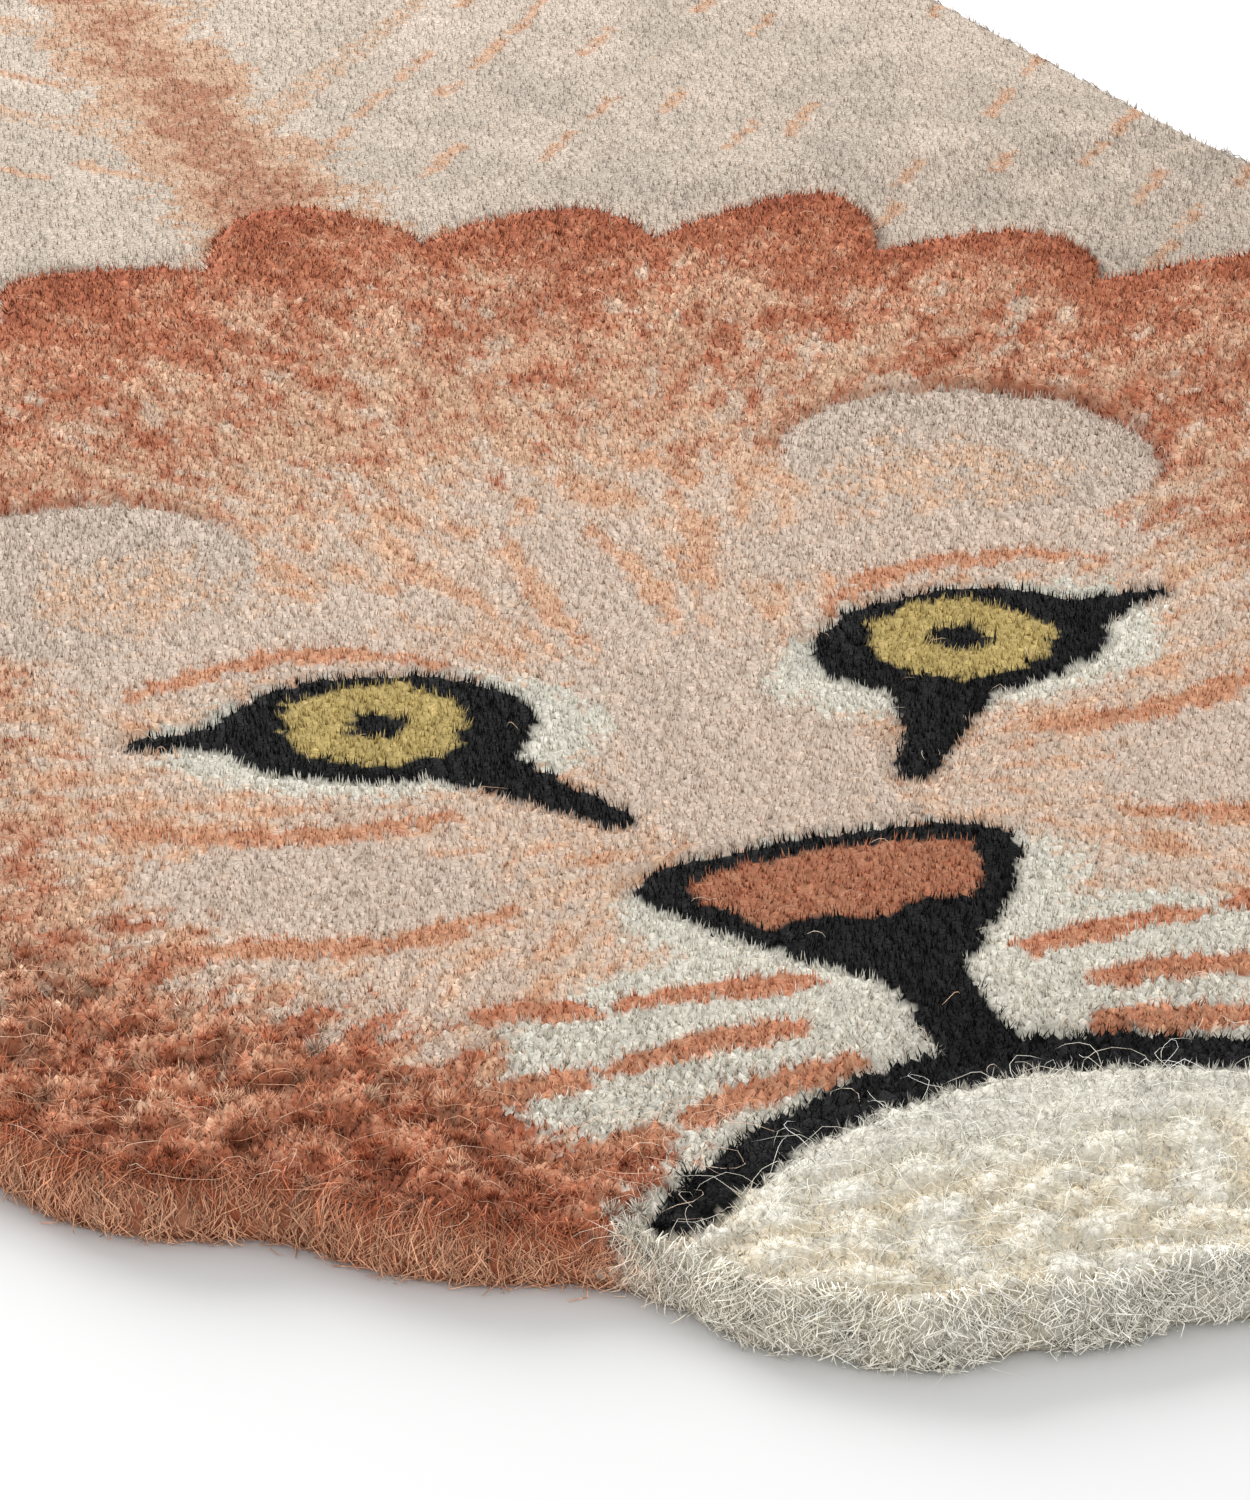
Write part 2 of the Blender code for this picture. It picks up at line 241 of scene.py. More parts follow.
# ---------------------------------------------------------------- the rug's drawing
# Every shape is drawn on both sides of the middle line. Later rows cover earlier ones.
# name, centre X, centre Y, radius X, radius Y, turn in degrees, yarn
FACE_PATCHES = (
    ("bridge of the nose", 0.0, -466.0, 36.0, 92.0, 0.0, "mushroom"),
    ("middle of the forehead", 0.0, -368.0, 22.0, 62.0, 0.0, "mushroom"),
    ("brow", 92.0, -370.0, 58.0, 24.0, -12.0, "mushroom"),
    ("cheek", 116.0, -506.0, 46.0, 30.0, 24.0, "mushroom"),
    ("eyelid", 76.0, -430.0, 58.0, 36.0, 10.0, "cream"),
    ("upper lip", 0.0, -548.0, 62.0, 34.0, 0.0, "cream"),
    ("muzzle", 50.0, -611.0, 62.0, 45.0, -14.0, "cream"),
    ("chin", 0.0, -702.0, 114.0, 72.0, 0.0, "cream"),
)
# name, start, bend, end, half width at start, middle and end, yarn
FACE_STROKES = (
    ("brow mark", (50.0, -396.0), (84.0, -366.0), (128.0, -390.0), 2.0, 6.5, 2.0, "tan"),
    ("forehead mark inner", (11.0, -330.0), (17.0, -362.0), (12.0, -396.0), 2.0, 5.5, 2.0, "peach"),
    ("forehead mark outer", (40.0, -316.0), (38.0, -342.0), (29.0, -368.0), 2.0, 5.5, 2.0, "peach"),
    ("cheek mark upper", (76.0, -478.0), (112.0, -486.0), (154.0, -458.0), 3.0, 7.0, 3.0, "tan"),
    ("cheek mark lower", (78.0, -530.0), (120.0, -548.0), (160.0, -524.0), 2.0, 7.5, 3.0, "tan"),
)
WHISKER_ROWS = (
    # start X, start Y, rise over a run of 1
    (28.0, -589.0, 0.10),
    (38.0, -609.0, -0.10),
    (30.0, -627.0, -0.32),
)
WHISKER_DASHES = ((0.0, 44.0), (53.0, 22.0))         # start along the row and length
WHISKER_HALF_WIDTH = 7.0
EYE_CENTRE = (76.0, -424.0)
EYE_BALL = (39.0, 30.0)
IRIS_RADIUS = 23.0
PUPIL_RADIUS = 7.5
EYE_CORNERS = (
    # end of the corner, half width where it leaves the eye and at its end
    ((38.0, -492.0), 17.0, 4.0),
    ((134.0, -414.0), 15.0, 2.5),
)
NOSE_TOP_Y = -522.0
NOSE_BOTTOM_Y = -594.0
NOSE_TOP_HALF = 50.0
NOSE_BOTTOM_HALF = 8.0
NOSE_ROUNDING = 16.0
NOSE_RIM = 8.5
LEATHER_FOOT = (-562.0, 6.0, 9.0)          # Y, height and width of the waves of the leather's lower edge
LEATHER_SHADE = 0.8
PHILTRUM = ((0.0, -580.0), (0.0, -606.0), (0.0, -634.0), 12.0, 8.0, 9.5)
MOUTH = ((0.0, -636.0), (54.0, -642.0), (93.0, -685.0), 9.5, 9.5, 6.0)
FACE_OVAL = (0.0, -468.0, 166.0, 186.0)
INNER_EAR = ((112.0, -330.0), (27.0, 24.0))
TAIL_TUFT = ((0.0, 704.0), (70.0, 62.0))
SPINE_HALF_WIDTH = (27.0, 13.0)     # behind the mane and at the tail
SPINE_RUN_Y = (-130.0, 520.0)
RIB_PITCH = 92.0
BACK_SHADE = 0.58                   # the warm yarns of the back are that much darker than those of the head
FLECK_CELL = (21.0, 34.0)           # one fleck at most in a cell of this width and length
FLECK_SHARE = 0.4                   # share of the cells with a fleck
FLECK_TURN = math.radians(40.0)
FLECK_HALF_WIDTH = 1.9
FLOW_CENTRE_Y = -490.0              # the fur of the face runs out from here
DRAWING_WOBBLE = 1.3                # slow noise moves the drawing's edges by that much
CHIN_DARKER = 0.11                  # under the white heads of its locks

YARNS = (
    # name, colour as 8 bit sRGB, where it is
    ("sand", (158, 147, 134), "Back, legs and tail"),
    ("mushroom", (203, 186, 171), "Brow, bridge of the nose, ears"),
    ("peach", (213, 178, 149), "Flecks and the light of the mane"),
    ("tan", (200, 150, 118), "Marks of the face"),
    ("terracotta", (180, 111, 80), "Mane"),
    ("rust", (145, 75, 49), "Mane's edge and front"),
    ("cream", (212, 208, 195), "Muzzle and eyelids"),
    ("white", (244, 240, 228), "Fluffy heads of the chin"),
    ("straw", (216, 196, 158), "Hollows of the chin"),
    ("ink", (10, 10, 12), "Eyes, nose and mouth"),
    ("olive", (179, 158, 100), "Iris"),
)


def linear(colour):
    """8 bit sRGB to linear light: ((c + 0.055) / 1.055) ** 2.4."""
    share = np.array(colour, dtype=float) / 255.0
    light = np.where(share < 0.04045, share / 12.92, ((share + 0.055) / 1.055) ** 2.4)
    return tuple(float(c) for c in light)


# ================================================================ form of the rug
def smooth_step(low, high, value):
    """0 below low, 1 above high, and a smooth S between them."""
    t = np.clip((value - low) / (high - low), 0.0, 1.0)
    return t * t * (3.0 - 2.0 * t)


def unit(vectors):
    """The vectors of the last axis divided by their lengths."""
    return vectors / np.linalg.norm(vectors, axis=-1, keepdims=True)


def even_steps(rows, step):
    """A curve's rows, resampled at even steps of its length in the first two columns."""
    along = np.concatenate(([0.0], np.cumsum(np.hypot(*np.diff(rows[:, :2], axis=0).T))))
    places = np.linspace(0.0, along[-1], int(round(along[-1] / step)) + 1)
    return np.column_stack([np.interp(places, along, column) for column in rows.T])


def curve_through(rows, step):
    """A Catmull-Rom curve through the rows, mirrored at its ends, at even steps of its length."""
    mirror = np.array((-1.0, 1.0, 1.0, 1.0))
    knots = np.vstack((rows[1] * mirror, rows, rows[-2] * mirror))
    t = np.linspace(0.0, 1.0, 12, endpoint=False)[:, None]
    spans = []
    for a, b, c, d in zip(knots[:-3], knots[1:-2], knots[2:-1], knots[3:]):
        spans.append(0.5 * (2.0 * b + (c - a) * t + (2.0 * a - 5.0 * b + 4.0 * c - d) * t ** 2
                            + (3.0 * b - a - 3.0 * c + d) * t ** 3))
    return even_steps(np.vstack(spans + [rows[-1]]), step)


def outward_normals(points):
    """Unit normals of the half outline, to the right of its run from chin to tail."""
    ahead = np.gradient(points, axis=0)
    normals = np.column_stack((ahead[:, 1], -ahead[:, 0]))
    normals[0] = (0.0, -1.0)
    normals[-1] = (0.0, 1.0)
    return unit(normals)


def half_outline(step):
    """The solid's half outline, resampled at the step asked for.

    Its locks and toes are half sines along the curve through the tables, as deep and as wide as they say.
    """
    turns = np.radians(MANE_ARC_DEG)
    arc = [(MANE_RADIUS * math.sin(t), MANE_CENTRE_Y - MANE_RADIUS * math.cos(t)) + MANE_LOCK for t in turns]
    rows = [row[1:] for row in CHIN_OUTLINE] + arc + [row[1:] for row in BODY_OUTLINE]
    points = curve_through(np.array(rows), OUTLINE_STEP)
    locks_passed = np.cumsum(OUTLINE_STEP / points[:, 3])
    lobes = points[:, 2] * (np.abs(np.sin(math.pi * locks_passed)) - 0.55)
    outline = points[:, :2] + outward_normals(points[:, :2]) * lobes[:, None]
    outline[[0, -1], 0] = 0.0
    return even_steps(outline, step)


def inset(outline, distance):
    """The half outline moved inwards, its two ends kept on the middle line."""
    moved = outline - outward_normals(outline) * distance
    moved[[0, -1], 0] = 0.0
    moved[:, 0] = np.maximum(moved[:, 0], 0.0)
    return moved


def ellipse_distance(x, y, centre, radii, turn_deg=0.0):
    """Distance to an ellipse's rim in millimetres, near enough: below 0 inside it.

    It is the radius as a share of the ellipse's, less 1, times the smaller radius.
    """
    turn = math.radians(turn_deg)
    dx = x - centre[0]
    dy = y - centre[1]
    u = (dx * math.cos(turn) + dy * math.sin(turn)) / radii[0]
    v = (-dx * math.sin(turn) + dy * math.cos(turn)) / radii[1]
    return (np.hypot(u, v) - 1.0) * min(radii)


def mane_edge_radius(angle):
    """Radius of the mane's back edge: sine lobes that lean to the sides, a long and a short one in turn."""
    turned = np.abs(angle) / math.radians(FLAME_PITCH_DEG) + 0.5
    lean = 1.0 + FLAME_LEAN * np.clip(turned - 1.0, 0.0, 1.0)
    rise = np.sin(math.pi * np.mod(turned, 1.0) ** lean) ** 0.8
    depth = np.where(np.mod(np.floor(turned), 2.0) < 0.5, *FLAME_DEPTHS)
    free = smooth_step(*np.radians(MANE_FREE_DEG), np.abs(angle)) * MANE_FREE_REACH
    return MANE_RADIUS + FLAME_NOTCH + depth * rise + free


def mane_polar(x, y):
    """Angle from straight back and radius, seen from the mane's centre."""
    return np.arctan2(x, y - MANE_CENTRE_Y), np.hypot(x, y - MANE_CENTRE_Y)


def beyond_mane(x, y):
    """Distance beyond the mane's back edge along the radius, below 0 in the mane."""
    angle, radius = mane_polar(x, y)
    return radius - mane_edge_radius(angle)


def ridge_wave(x, y):
    """-1 to 1 across the wavy ridges of the mane: a sine of the angle, shifted by a sine of the radius."""
    angle, radius = mane_polar(x, y)
    return np.sin(RIDGE_COUNT * np.abs(angle) + 1.3 * np.sin(radius / RIDGE_WAVE * 2.0))


def chin_share(x, y):
    """1 in the chin's long locks, 0 outside them."""
    return 1.0 - smooth_step(-18.0, 6.0, ellipse_distance(x, y, (0.0, CHIN_CENTRE_Y), CHIN_RADII))


def top_height(x, y):
    """The solid's pile height: its body's, plus the smooth rises of mane, chin and muzzle and their lumps."""
    in_mane = 1.0 - smooth_step(-CARVE_HALF_WIDTH, CARVE_HALF_WIDTH, beyond_mane(x, y))
    in_mane *= smooth_step(MANE_FIELD, MANE_RADIUS * 0.8, mane_polar(x, y)[1])
    ear = ellipse_distance(np.abs(x), y, EAR_CENTRE, EAR_RADII, EAR_TURN_DEG)
    in_mane *= smooth_step(-CARVE_HALF_WIDTH, CARVE_HALF_WIDTH, ear)
    in_mane *= smooth_step(-20.0, 10.0, ellipse_distance(x, y, (0.0, JAW_CENTRE_Y), JAW_RADII))
    in_chin = chin_share(x, y)
    muzzle = ellipse_distance(np.abs(x), y, MUZZLE_CENTRE, MUZZLE_RADII)
    in_muzzle = 1.0 - smooth_step(-40.0, 6.0, muzzle)
    tufts = np.sin(x / 9.0) * np.sin(y / 11.0)
    rise = MANE_RISE * in_mane + CHIN_RISE * in_chin + MUZZLE_RISE * in_muzzle * (1.0 - in_chin)
    return BODY_TOP + rise + LUMP * (ridge_wave(x, y) * in_mane + tufts * in_chin)


def inside(points, outline):
    """True for points inside the closed outline, by the number of its edges to their right."""
    result = np.zeros(len(points), dtype=bool)
    start = outline
    end = np.roll(outline, -1, axis=0)
    for part in np.array_split(np.arange(len(points)), max(1, len(points) // 4000)):
        x = points[part, 0][:, None]
        y = points[part, 1][:, None]
        crosses = (start[:, 1] > y) != (end[:, 1] > y)
        rise = np.where(end[:, 1] == start[:, 1], 1.0, end[:, 1] - start[:, 1])
        at = start[:, 0] + (y - start[:, 1]) / rise * (end[:, 0] - start[:, 0])
        result[part] = np.count_nonzero(crosses & (x < at), axis=1) % 2 == 1
    return result


def whole(half):
    """Both halves of an outline as one closed run."""
    other = half[1:-1][::-1] * np.array((-1.0, 1.0))
    return np.vstack((half, other))


def rug_edge(distance):
    """The rug's closed outline, moved inwards."""
    return whole(inset(half_outline(RIM_POINT_STEP), distance))


# ================================================================ drawing
def slow_noise(x, y, size, seed):
    """Smooth noise from -1 to 1 with blobs of about the given size: a sum of turned, bent sine waves."""
    total = np.zeros_like(x)
    for octave in range(3):
        turn = seed * 1.7 + octave * 2.1
        scale = size / (1.0 + 0.7 * octave)
        u = (x * math.cos(turn) + y * math.sin(turn)) / scale
        v = (-x * math.sin(turn) + y * math.cos(turn)) / scale
        across = np.sin(u * 3.1 + 1.9 * np.sin(v * 1.7 + seed))
        total += across * np.sin(v * 2.7 + 1.3 * np.sin(u * 2.1 + octave))
    return total / 1.8


def cell_random(i, j, seed):
    """A number from 0 to 1 for every cell of a grid: what a large sine has after its point."""
    value = np.sin(i * 127.1 + j * 311.7 + seed * 74.7) * 43758.5453
    return value - np.floor(value)


def stroke_distance(x, y, start, bend, end, wide_start, wide_middle, wide_end):
    """Distance to the rim of a tapered stroke along a quadratic Bezier curve: below 0 inside it."""
    t = np.linspace(0.0, 1.0, 11)
    path = np.outer((1 - t) ** 2, start) + np.outer(2 * t * (1 - t), bend) + np.outer(t * t, end)
    widths = (1 - t) ** 2 * wide_start + 2 * t * (1 - t) * wide_middle + t * t * wide_end
    nearest = np.full(x.shape, 1e6)
    for k in range(len(t) - 1):
        a = path[k]
        run = path[k + 1] - a
        share = np.clip(((x - a[0]) * run[0] + (y - a[1]) * run[1]) / (run @ run), 0.0, 1.0)
        gap = np.hypot(x - a[0] - share * run[0], y - a[1] - share * run[1])
        nearest = np.minimum(nearest, gap - widths[k] - share * (widths[k + 1] - widths[k]))
    return nearest


def smooth_maximum(first, second, rounding):
    """The larger of two distances, with the corner between them rounded: their fillet in closed form."""
    share = np.clip(0.5 + 0.5 * (first - second) / rounding, 0.0, 1.0)
    return second + (first - second) * share + rounding * share * (1.0 - share)


def nose_distance(x, y):
    """Distance to the nose's rim: a rounded shape, wide at its top and narrow at its foot."""
    u = np.abs(x)
    share = np.clip((NOSE_TOP_Y - y) / (NOSE_TOP_Y - NOSE_BOTTOM_Y), 0.0, 1.0)
    half = NOSE_TOP_HALF - (NOSE_TOP_HALF - NOSE_BOTTOM_HALF) * share ** 1.5
    top = y - (NOSE_TOP_Y + 6.0 * np.cos(u / NOSE_TOP_HALF * 1.6))
    return smooth_maximum(smooth_maximum(0.85 * (u - half), top, NOSE_ROUNDING), NOSE_BOTTOM_Y - y, 4.0)


def eye_distance(u, y):
    """Distance to the rim of the dark eye: an ellipse with a tear line inwards and a corner outwards."""
    nearest = ellipse_distance(u, y, EYE_CENTRE, EYE_BALL, 8.0)
    for corner, wide, narrow in EYE_CORNERS:
        middle = (np.array(EYE_CENTRE) + np.array(corner)) / 2.0
        stroke = stroke_distance(u, y, EYE_CENTRE, middle, corner, wide, wide * 0.62, narrow)
        nearest = np.minimum(nearest, stroke)
    return nearest


def whisker_distance(u, y):
    """Distance to the nearest whisker dash of the muzzle."""
    nearest = np.full(u.shape, 1e6)
    for start_x, start_y, rise in WHISKER_ROWS:
        for along, length in WHISKER_DASHES:
            near = (start_x + along, start_y + rise * along)
            bend = (near[0] + 0.5 * length, near[1] + 0.5 * rise * length + 2.5)
            far = (near[0] + length, near[1] + rise * length)
            dash = stroke_distance(u, y, near, bend, far, 4.5, WHISKER_HALF_WIDTH, 3.0)
            nearest = np.minimum(nearest, dash)
    return nearest


def fleck_mask(x, y):
    """Short dashes along the fur's run, one at most in each cell of a slanted grid."""
    u = np.abs(x)
    across = (u * math.cos(FLECK_TURN) - y * math.sin(FLECK_TURN)) / FLECK_CELL[0]
    along = (u * math.sin(FLECK_TURN) + y * math.cos(FLECK_TURN)) / FLECK_CELL[1]
    side = np.where(x > 0, 0.0, 9.0)
    i = np.floor(across)
    row = along + 0.5 * np.mod(i, 2.0)
    j = np.floor(row)
    there = cell_random(i, j + side, 1.0) < FLECK_SHARE
    off_across = (across - i - 0.25 - 0.5 * cell_random(i, j + side, 2.0)) * FLECK_CELL[0]
    off_along = (row - j - 0.3 - 0.4 * cell_random(i, j + side, 3.0)) * FLECK_CELL[1]
    length = 7.0 + 9.0 * cell_random(i, j + side, 4.0)
    return there & (np.abs(off_across) < FLECK_HALF_WIDTH) & (np.abs(off_along) < length)


def mix(first, second, share):
    """Blend of two colours, row by row."""
    share = np.clip(share, 0.0, 1.0)[:, None]
    return first * (1.0 - share) + second * share


def put(colour, where, paint):
    """The colours, with the paint where the mask holds."""
    return np.where(where[:, None], paint, colour)


def degrees_off(x, y):
    """Degrees from straight back, seen from the mane's centre, the same to both sides."""
    return np.degrees(np.abs(mane_polar(x, y)[0]))


def dyed_share(colour):
    """0 on the ink yarn and 1 on the lighter ones, from the mean of the three channels."""
    return smooth_step(0.02, 0.12, colour.mean(axis=1))


def fur_flow(x, y, centre_y, across, along, seed):
    """Streaks of noise that run out from a point of the middle line, as wide and long as asked for."""
    angle = np.arctan2(x, y - centre_y)
    radius = np.hypot(x, y - centre_y)
    return slow_noise(angle * 170.0 / across, radius / along, 1.0, seed)


def body_wool(x, y, yarn, grain, speck):
    """Back, legs and tail: sandy wool with flecks, and the spine's band with its ribs.

    grain is the tuft's own random number that shifts the mix of two yarns, and speck one from 0 to 1 that
    leaves some tufts of a shape out.
    """
    u = np.abs(x)
    peach = yarn["peach"] * BACK_SHADE
    tan = yarn["tan"] * BACK_SHADE
    colour = mix(yarn["sand"], yarn["mushroom"], 0.26 + 0.2 * slow_noise(x, y, 60.0, 3.0) + 0.1 * grain)
    fleck = mix(peach * 1.2, tan * 1.1, 0.4 + 0.2 * grain)
    colour = put(colour, fleck_mask(x, y) & (speck < 0.9), fleck)
    run = np.clip((y - SPINE_RUN_Y[0]) / (SPINE_RUN_Y[1] - SPINE_RUN_Y[0]), 0.0, 1.0)
    rib = np.mod(y - 1.1 * u, RIB_PITCH) / RIB_PITCH
    rib_reach = 150.0 * (1.0 - 0.5 * run) * (0.7 + 0.3 * np.sin(y / 40.0))
    on_rib = (np.abs(rib - 0.5) < 0.16 * (1.0 - u / rib_reach)) & (u < rib_reach) & (y > -60.0)
    colour = put(colour, on_rib & (speck < 0.62), mix(peach * 1.1, yarn["sand"], 0.1 + 0.25 * grain))
    half = SPINE_HALF_WIDTH[0] + (SPINE_HALF_WIDTH[1] - SPINE_HALF_WIDTH[0]) * run
    band = half + 9.0 * slow_noise(x, y, 34.0, 4.0) - u
    edge = (band > -8.0) & (speck < smooth_step(-8.0, 8.0, band))
    colour = put(colour, edge, mix(peach * 1.1, tan, 0.2 + 0.3 * grain))
    light = 0.15 + 0.25 * grain + 0.4 * run + 0.5 * slow_noise(x, y, 9.0, 15.0)
    colour = put(colour, band > 13.0, mix(0.5 * tan + 0.28 * yarn["terracotta"], peach * 1.1, light))
    tuft = ellipse_distance(x, y, *TAIL_TUFT) + 5.0 * slow_noise(x, y, 20.0, 5.0)
    # Painted shade: the tail's tuft is darkened by 0.62, as the soft light stands nearer to it than to the
    # head.
    return put(colour, tuft < 0.0, mix(yarn["terracotta"], yarn["rust"], 0.45 + 0.3 * grain) * 0.62)


def mane_wool(x, y, beyond, yarn, grain):
    """The mane: light near the face and dark at its edge and in front, with streaks that run outwards.

    light is a sum of those shares. It mixes terracotta with peach above 0 and with rust below 0.
    """
    _, radius = mane_polar(x, y)
    out = np.clip((radius - MANE_FIELD) / (MANE_RADIUS - MANE_FIELD), 0.0, 1.3)
    front = smooth_step(112.0, 156.0, degrees_off(x, y))
    light = 0.75 - 0.80 * out + 0.12 * ridge_wave(x, y) + 0.16 * slow_noise(x, y, 42.0, 6.0) + 0.20 * grain
    streak = fur_flow(x, y, MANE_CENTRE_Y, 13.0, 40.0, 7.0)
    light += 0.30 * smooth_step(0.25, 0.5, streak) - 0.34 * smooth_step(-0.3, -0.55, streak)
    light += 0.44 * slow_noise(x, y, 9.0, 13.0) - 0.44 * front
    light -= 0.40 * smooth_step(-36.0, -8.0, beyond)
    colour = mix(yarn["terracotta"], yarn["peach"], light)
    colour = mix(colour, yarn["rust"], np.clip(-light, 0.0, 0.85))
    pale = fur_flow(x, y, MANE_CENTRE_Y, 10.0, 30.0, 9.0) > 0.42 + 0.5 * out + 0.4 * front
    pale_wool = mix(yarn["peach"], yarn["mushroom"], 0.5 - 0.4 * front + 0.15 * grain)
    colour = put(colour, pale & (out < 0.75), pale_wool)
    return colour * (0.94 + 0.08 * front)[:, None]


def face_wool(x, y, yarn, grain):
    """Cheeks and forehead: mushroom wool with peach dabs that run out from the bridge of the nose."""
    colour = mix(yarn["mushroom"], yarn["peach"], 0.22 + 0.12 * grain)
    dab = fur_flow(x, y, FLOW_CENTRE_Y, 15.0, 36.0, 3.0) + 0.1 * grain
    colour = put(colour, dab > 0.12, mix(yarn["peach"], yarn["mushroom"], 0.25 + 0.12 * grain))
    return put(colour, dab > 0.52, mix(yarn["tan"], yarn["peach"], 0.4 + 0.2 * grain))


def yarn_drawing(x, y, yarn, rng):
    """Colour of each tuft and the depth of the carved line there, from the drawing's shapes.

    A shape covers the tufts whose distance to its rim is below 0, with noise added to the distance for an
    uneven edge. Inside it a tuft has a mix of two yarns, which its own random number shifts. The carved lines
    are bell curves of the distance.
    """
    x = x + DRAWING_WOBBLE * slow_noise(x, y, 17.0, 1.0)
    y = y + DRAWING_WOBBLE * slow_noise(x, y, 15.0, 2.0)
    u = np.abs(x)
    grain = rng.normal(0.0, 1.0, len(x))
    speck = rng.random(len(x))
    colour = body_wool(x, y, yarn, grain, speck)

    beyond = beyond_mane(x, y)
    colour = put(colour, beyond < 0.0, mane_wool(x, y, beyond, yarn, grain))
    carve = 1.4 * np.exp(-(beyond / 3.0) ** 2) * (degrees_off(x, y) < MANE_FREE_DEG[0])

    oval = ellipse_distance(u, y, FACE_OVAL[:2], FACE_OVAL[2:])
    oval += 26.0 * fur_flow(x, y, FLOW_CENTRE_Y, 12.0, 60.0, 8.0) + 5.0 * grain
    colour = put(colour, oval < -6.0, face_wool(x, y, yarn, grain))

    ear = ellipse_distance(u, y, EAR_CENTRE, EAR_RADII, EAR_TURN_DEG)
    ear_colour = mix(yarn["mushroom"], yarn["sand"], 0.15 + 0.12 * grain)
    inner = ellipse_distance(u, y, *INNER_EAR, EAR_TURN_DEG) + 9.0 * slow_noise(x, y, 13.0, 3.0)
    inner_colour = mix(yarn["peach"], yarn["mushroom"], 0.2 + 0.2 * grain)
    ear_colour = put(ear_colour, (inner < 0.0) & (speck < 0.6), inner_colour)
    colour = put(colour, ear < 0.0, ear_colour)
    # Painted shadow: just outside the back and outer side of each ear the mane is mixed with rust, as the
    # shadow line of the higher mane; that side also gets the deeper carved line.
    back_of_ear = smooth_step(-25.0, 5.0, (y - EAR_CENTRE[1]) + 0.55 * (u - EAR_CENTRE[0]))
    outer_side = 0.4 + 0.6 * smooth_step(0.0, 30.0, u - EAR_CENTRE[0])
    edge = back_of_ear * outer_side
    colour = mix(colour, yarn["rust"], 0.7 * smooth_step(7.0, 1.0, ear) * (ear > 0.0) * edge)
    carve = np.maximum(carve, 2.4 * np.exp(-((ear - 1.0) / 2.4) ** 2) * edge)

    for _, centre_x, centre_y, radius_x, radius_y, turn, wool_name in FACE_PATCHES:
        patch = ellipse_distance(u, y, (centre_x, centre_y), (radius_x, radius_y), turn)
        ragged = 7.0 if wool_name == "mushroom" else 3.0
        patch += ragged * fur_flow(x, y, FLOW_CENTRE_Y, 9.0, 26.0, centre_x) + 1.5 * grain
        other = "peach" if wool_name == "mushroom" else "sand"
        colour = put(colour, patch < -2.0, mix(yarn[wool_name], yarn[other], 0.07 + 0.07 * grain))
    for _, *path_and_widths, wool_name in FACE_STROKES:
        stroke = stroke_distance(u, y, *path_and_widths) + 2.0 * slow_noise(x, y, 8.0, 5.0)
        colour = put(colour, stroke < 0.0, mix(yarn[wool_name], yarn["terracotta"], 0.15 + 0.2 * grain))
    whisker = whisker_distance(u, y) + 1.2 * slow_noise(x, y, 8.0, 6.0)
    colour = put(colour, whisker < 0.0, mix(yarn["terracotta"], yarn["tan"], 0.45 + 0.25 * grain))
    bed = smooth_step(-0.5, 0.5, slow_noise(x, y, 24.0, 8.0)) * smooth_step(-672.0, -700.0, y)
    colour = mix(colour, yarn["straw"], 0.4 * bed * chin_share(x, y))
    colour *= 1.0 - CHIN_DARKER * chin_share(x, y)[:, None]

    mouth = np.minimum(stroke_distance(u, y, *MOUTH), stroke_distance(u, y, *PHILTRUM))
    nose = nose_distance(x, y)
    eye = eye_distance(u, y)
    ink = np.minimum(np.minimum(mouth, nose), eye)
    colour = put(colour, ink < 0.0, yarn["ink"] * (1.0 + 0.15 * grain[:, None]))
    foot_y, wave, width = LEATHER_FOOT
    leather = np.maximum(nose + NOSE_RIM, foot_y + wave * np.sin(u / width) - y)
    leather_colour = LEATHER_SHADE * mix(yarn["terracotta"], yarn["tan"], 0.3 + 0.2 * grain)
    colour = put(colour, leather < 0.0, leather_colour)
    ball = np.hypot(u - EYE_CENTRE[0], y - EYE_CENTRE[1]) + 1.6 * slow_noise(x, y, 7.0, 2.0)
    iris = (ball < IRIS_RADIUS) & (ball > PUPIL_RADIUS)
    colour = put(colour, iris, yarn["olive"] * (1.0 + 0.08 * grain[:, None]))
    carve = np.maximum(carve, 1.4 * np.exp(-((ink - 0.8) / 2.0) ** 2))
    return np.clip(colour, 0.0, 1.0), carve


def yarn_table(colours):
    """The yarns' linear colours by name, from the colours of the panel."""
    return {name: np.array(getattr(colours, name)[:3]) for name, _, _ in YARNS}


# ================================================================ meshes
def new_piece(name, vertices, faces, material):
    """A smooth mesh object at the origin from metre vertices and an array of triangles."""
    if len(faces) > TRIANGLE_LIMIT:
        raise RuntimeError(f"{name}: {len(faces)} triangles")
    mesh = bpy.data.meshes.new(name)
    mesh.vertices.add(len(vertices))
    mesh.vertices.foreach_set("co", np.ascontiguousarray(vertices, dtype=np.float32).ravel())
    mesh.loops.add(len(faces) * 3)
    mesh.loops.foreach_set("vertex_index", np.ascontiguousarray(faces, dtype=np.int32).ravel())
    mesh.polygons.add(len(faces))
    mesh.polygons.foreach_set("loop_start", np.arange(0, len(faces) * 3, 3, dtype=np.int32))
    mesh.polygons.foreach_set("use_smooth", np.ones(len(faces), dtype=bool))
    mesh.materials.append(material)
    mesh.update(calc_edges=True)
    piece = bpy.data.objects.new(name, mesh)
    bpy.context.scene.collection.objects.link(piece)
    return piece


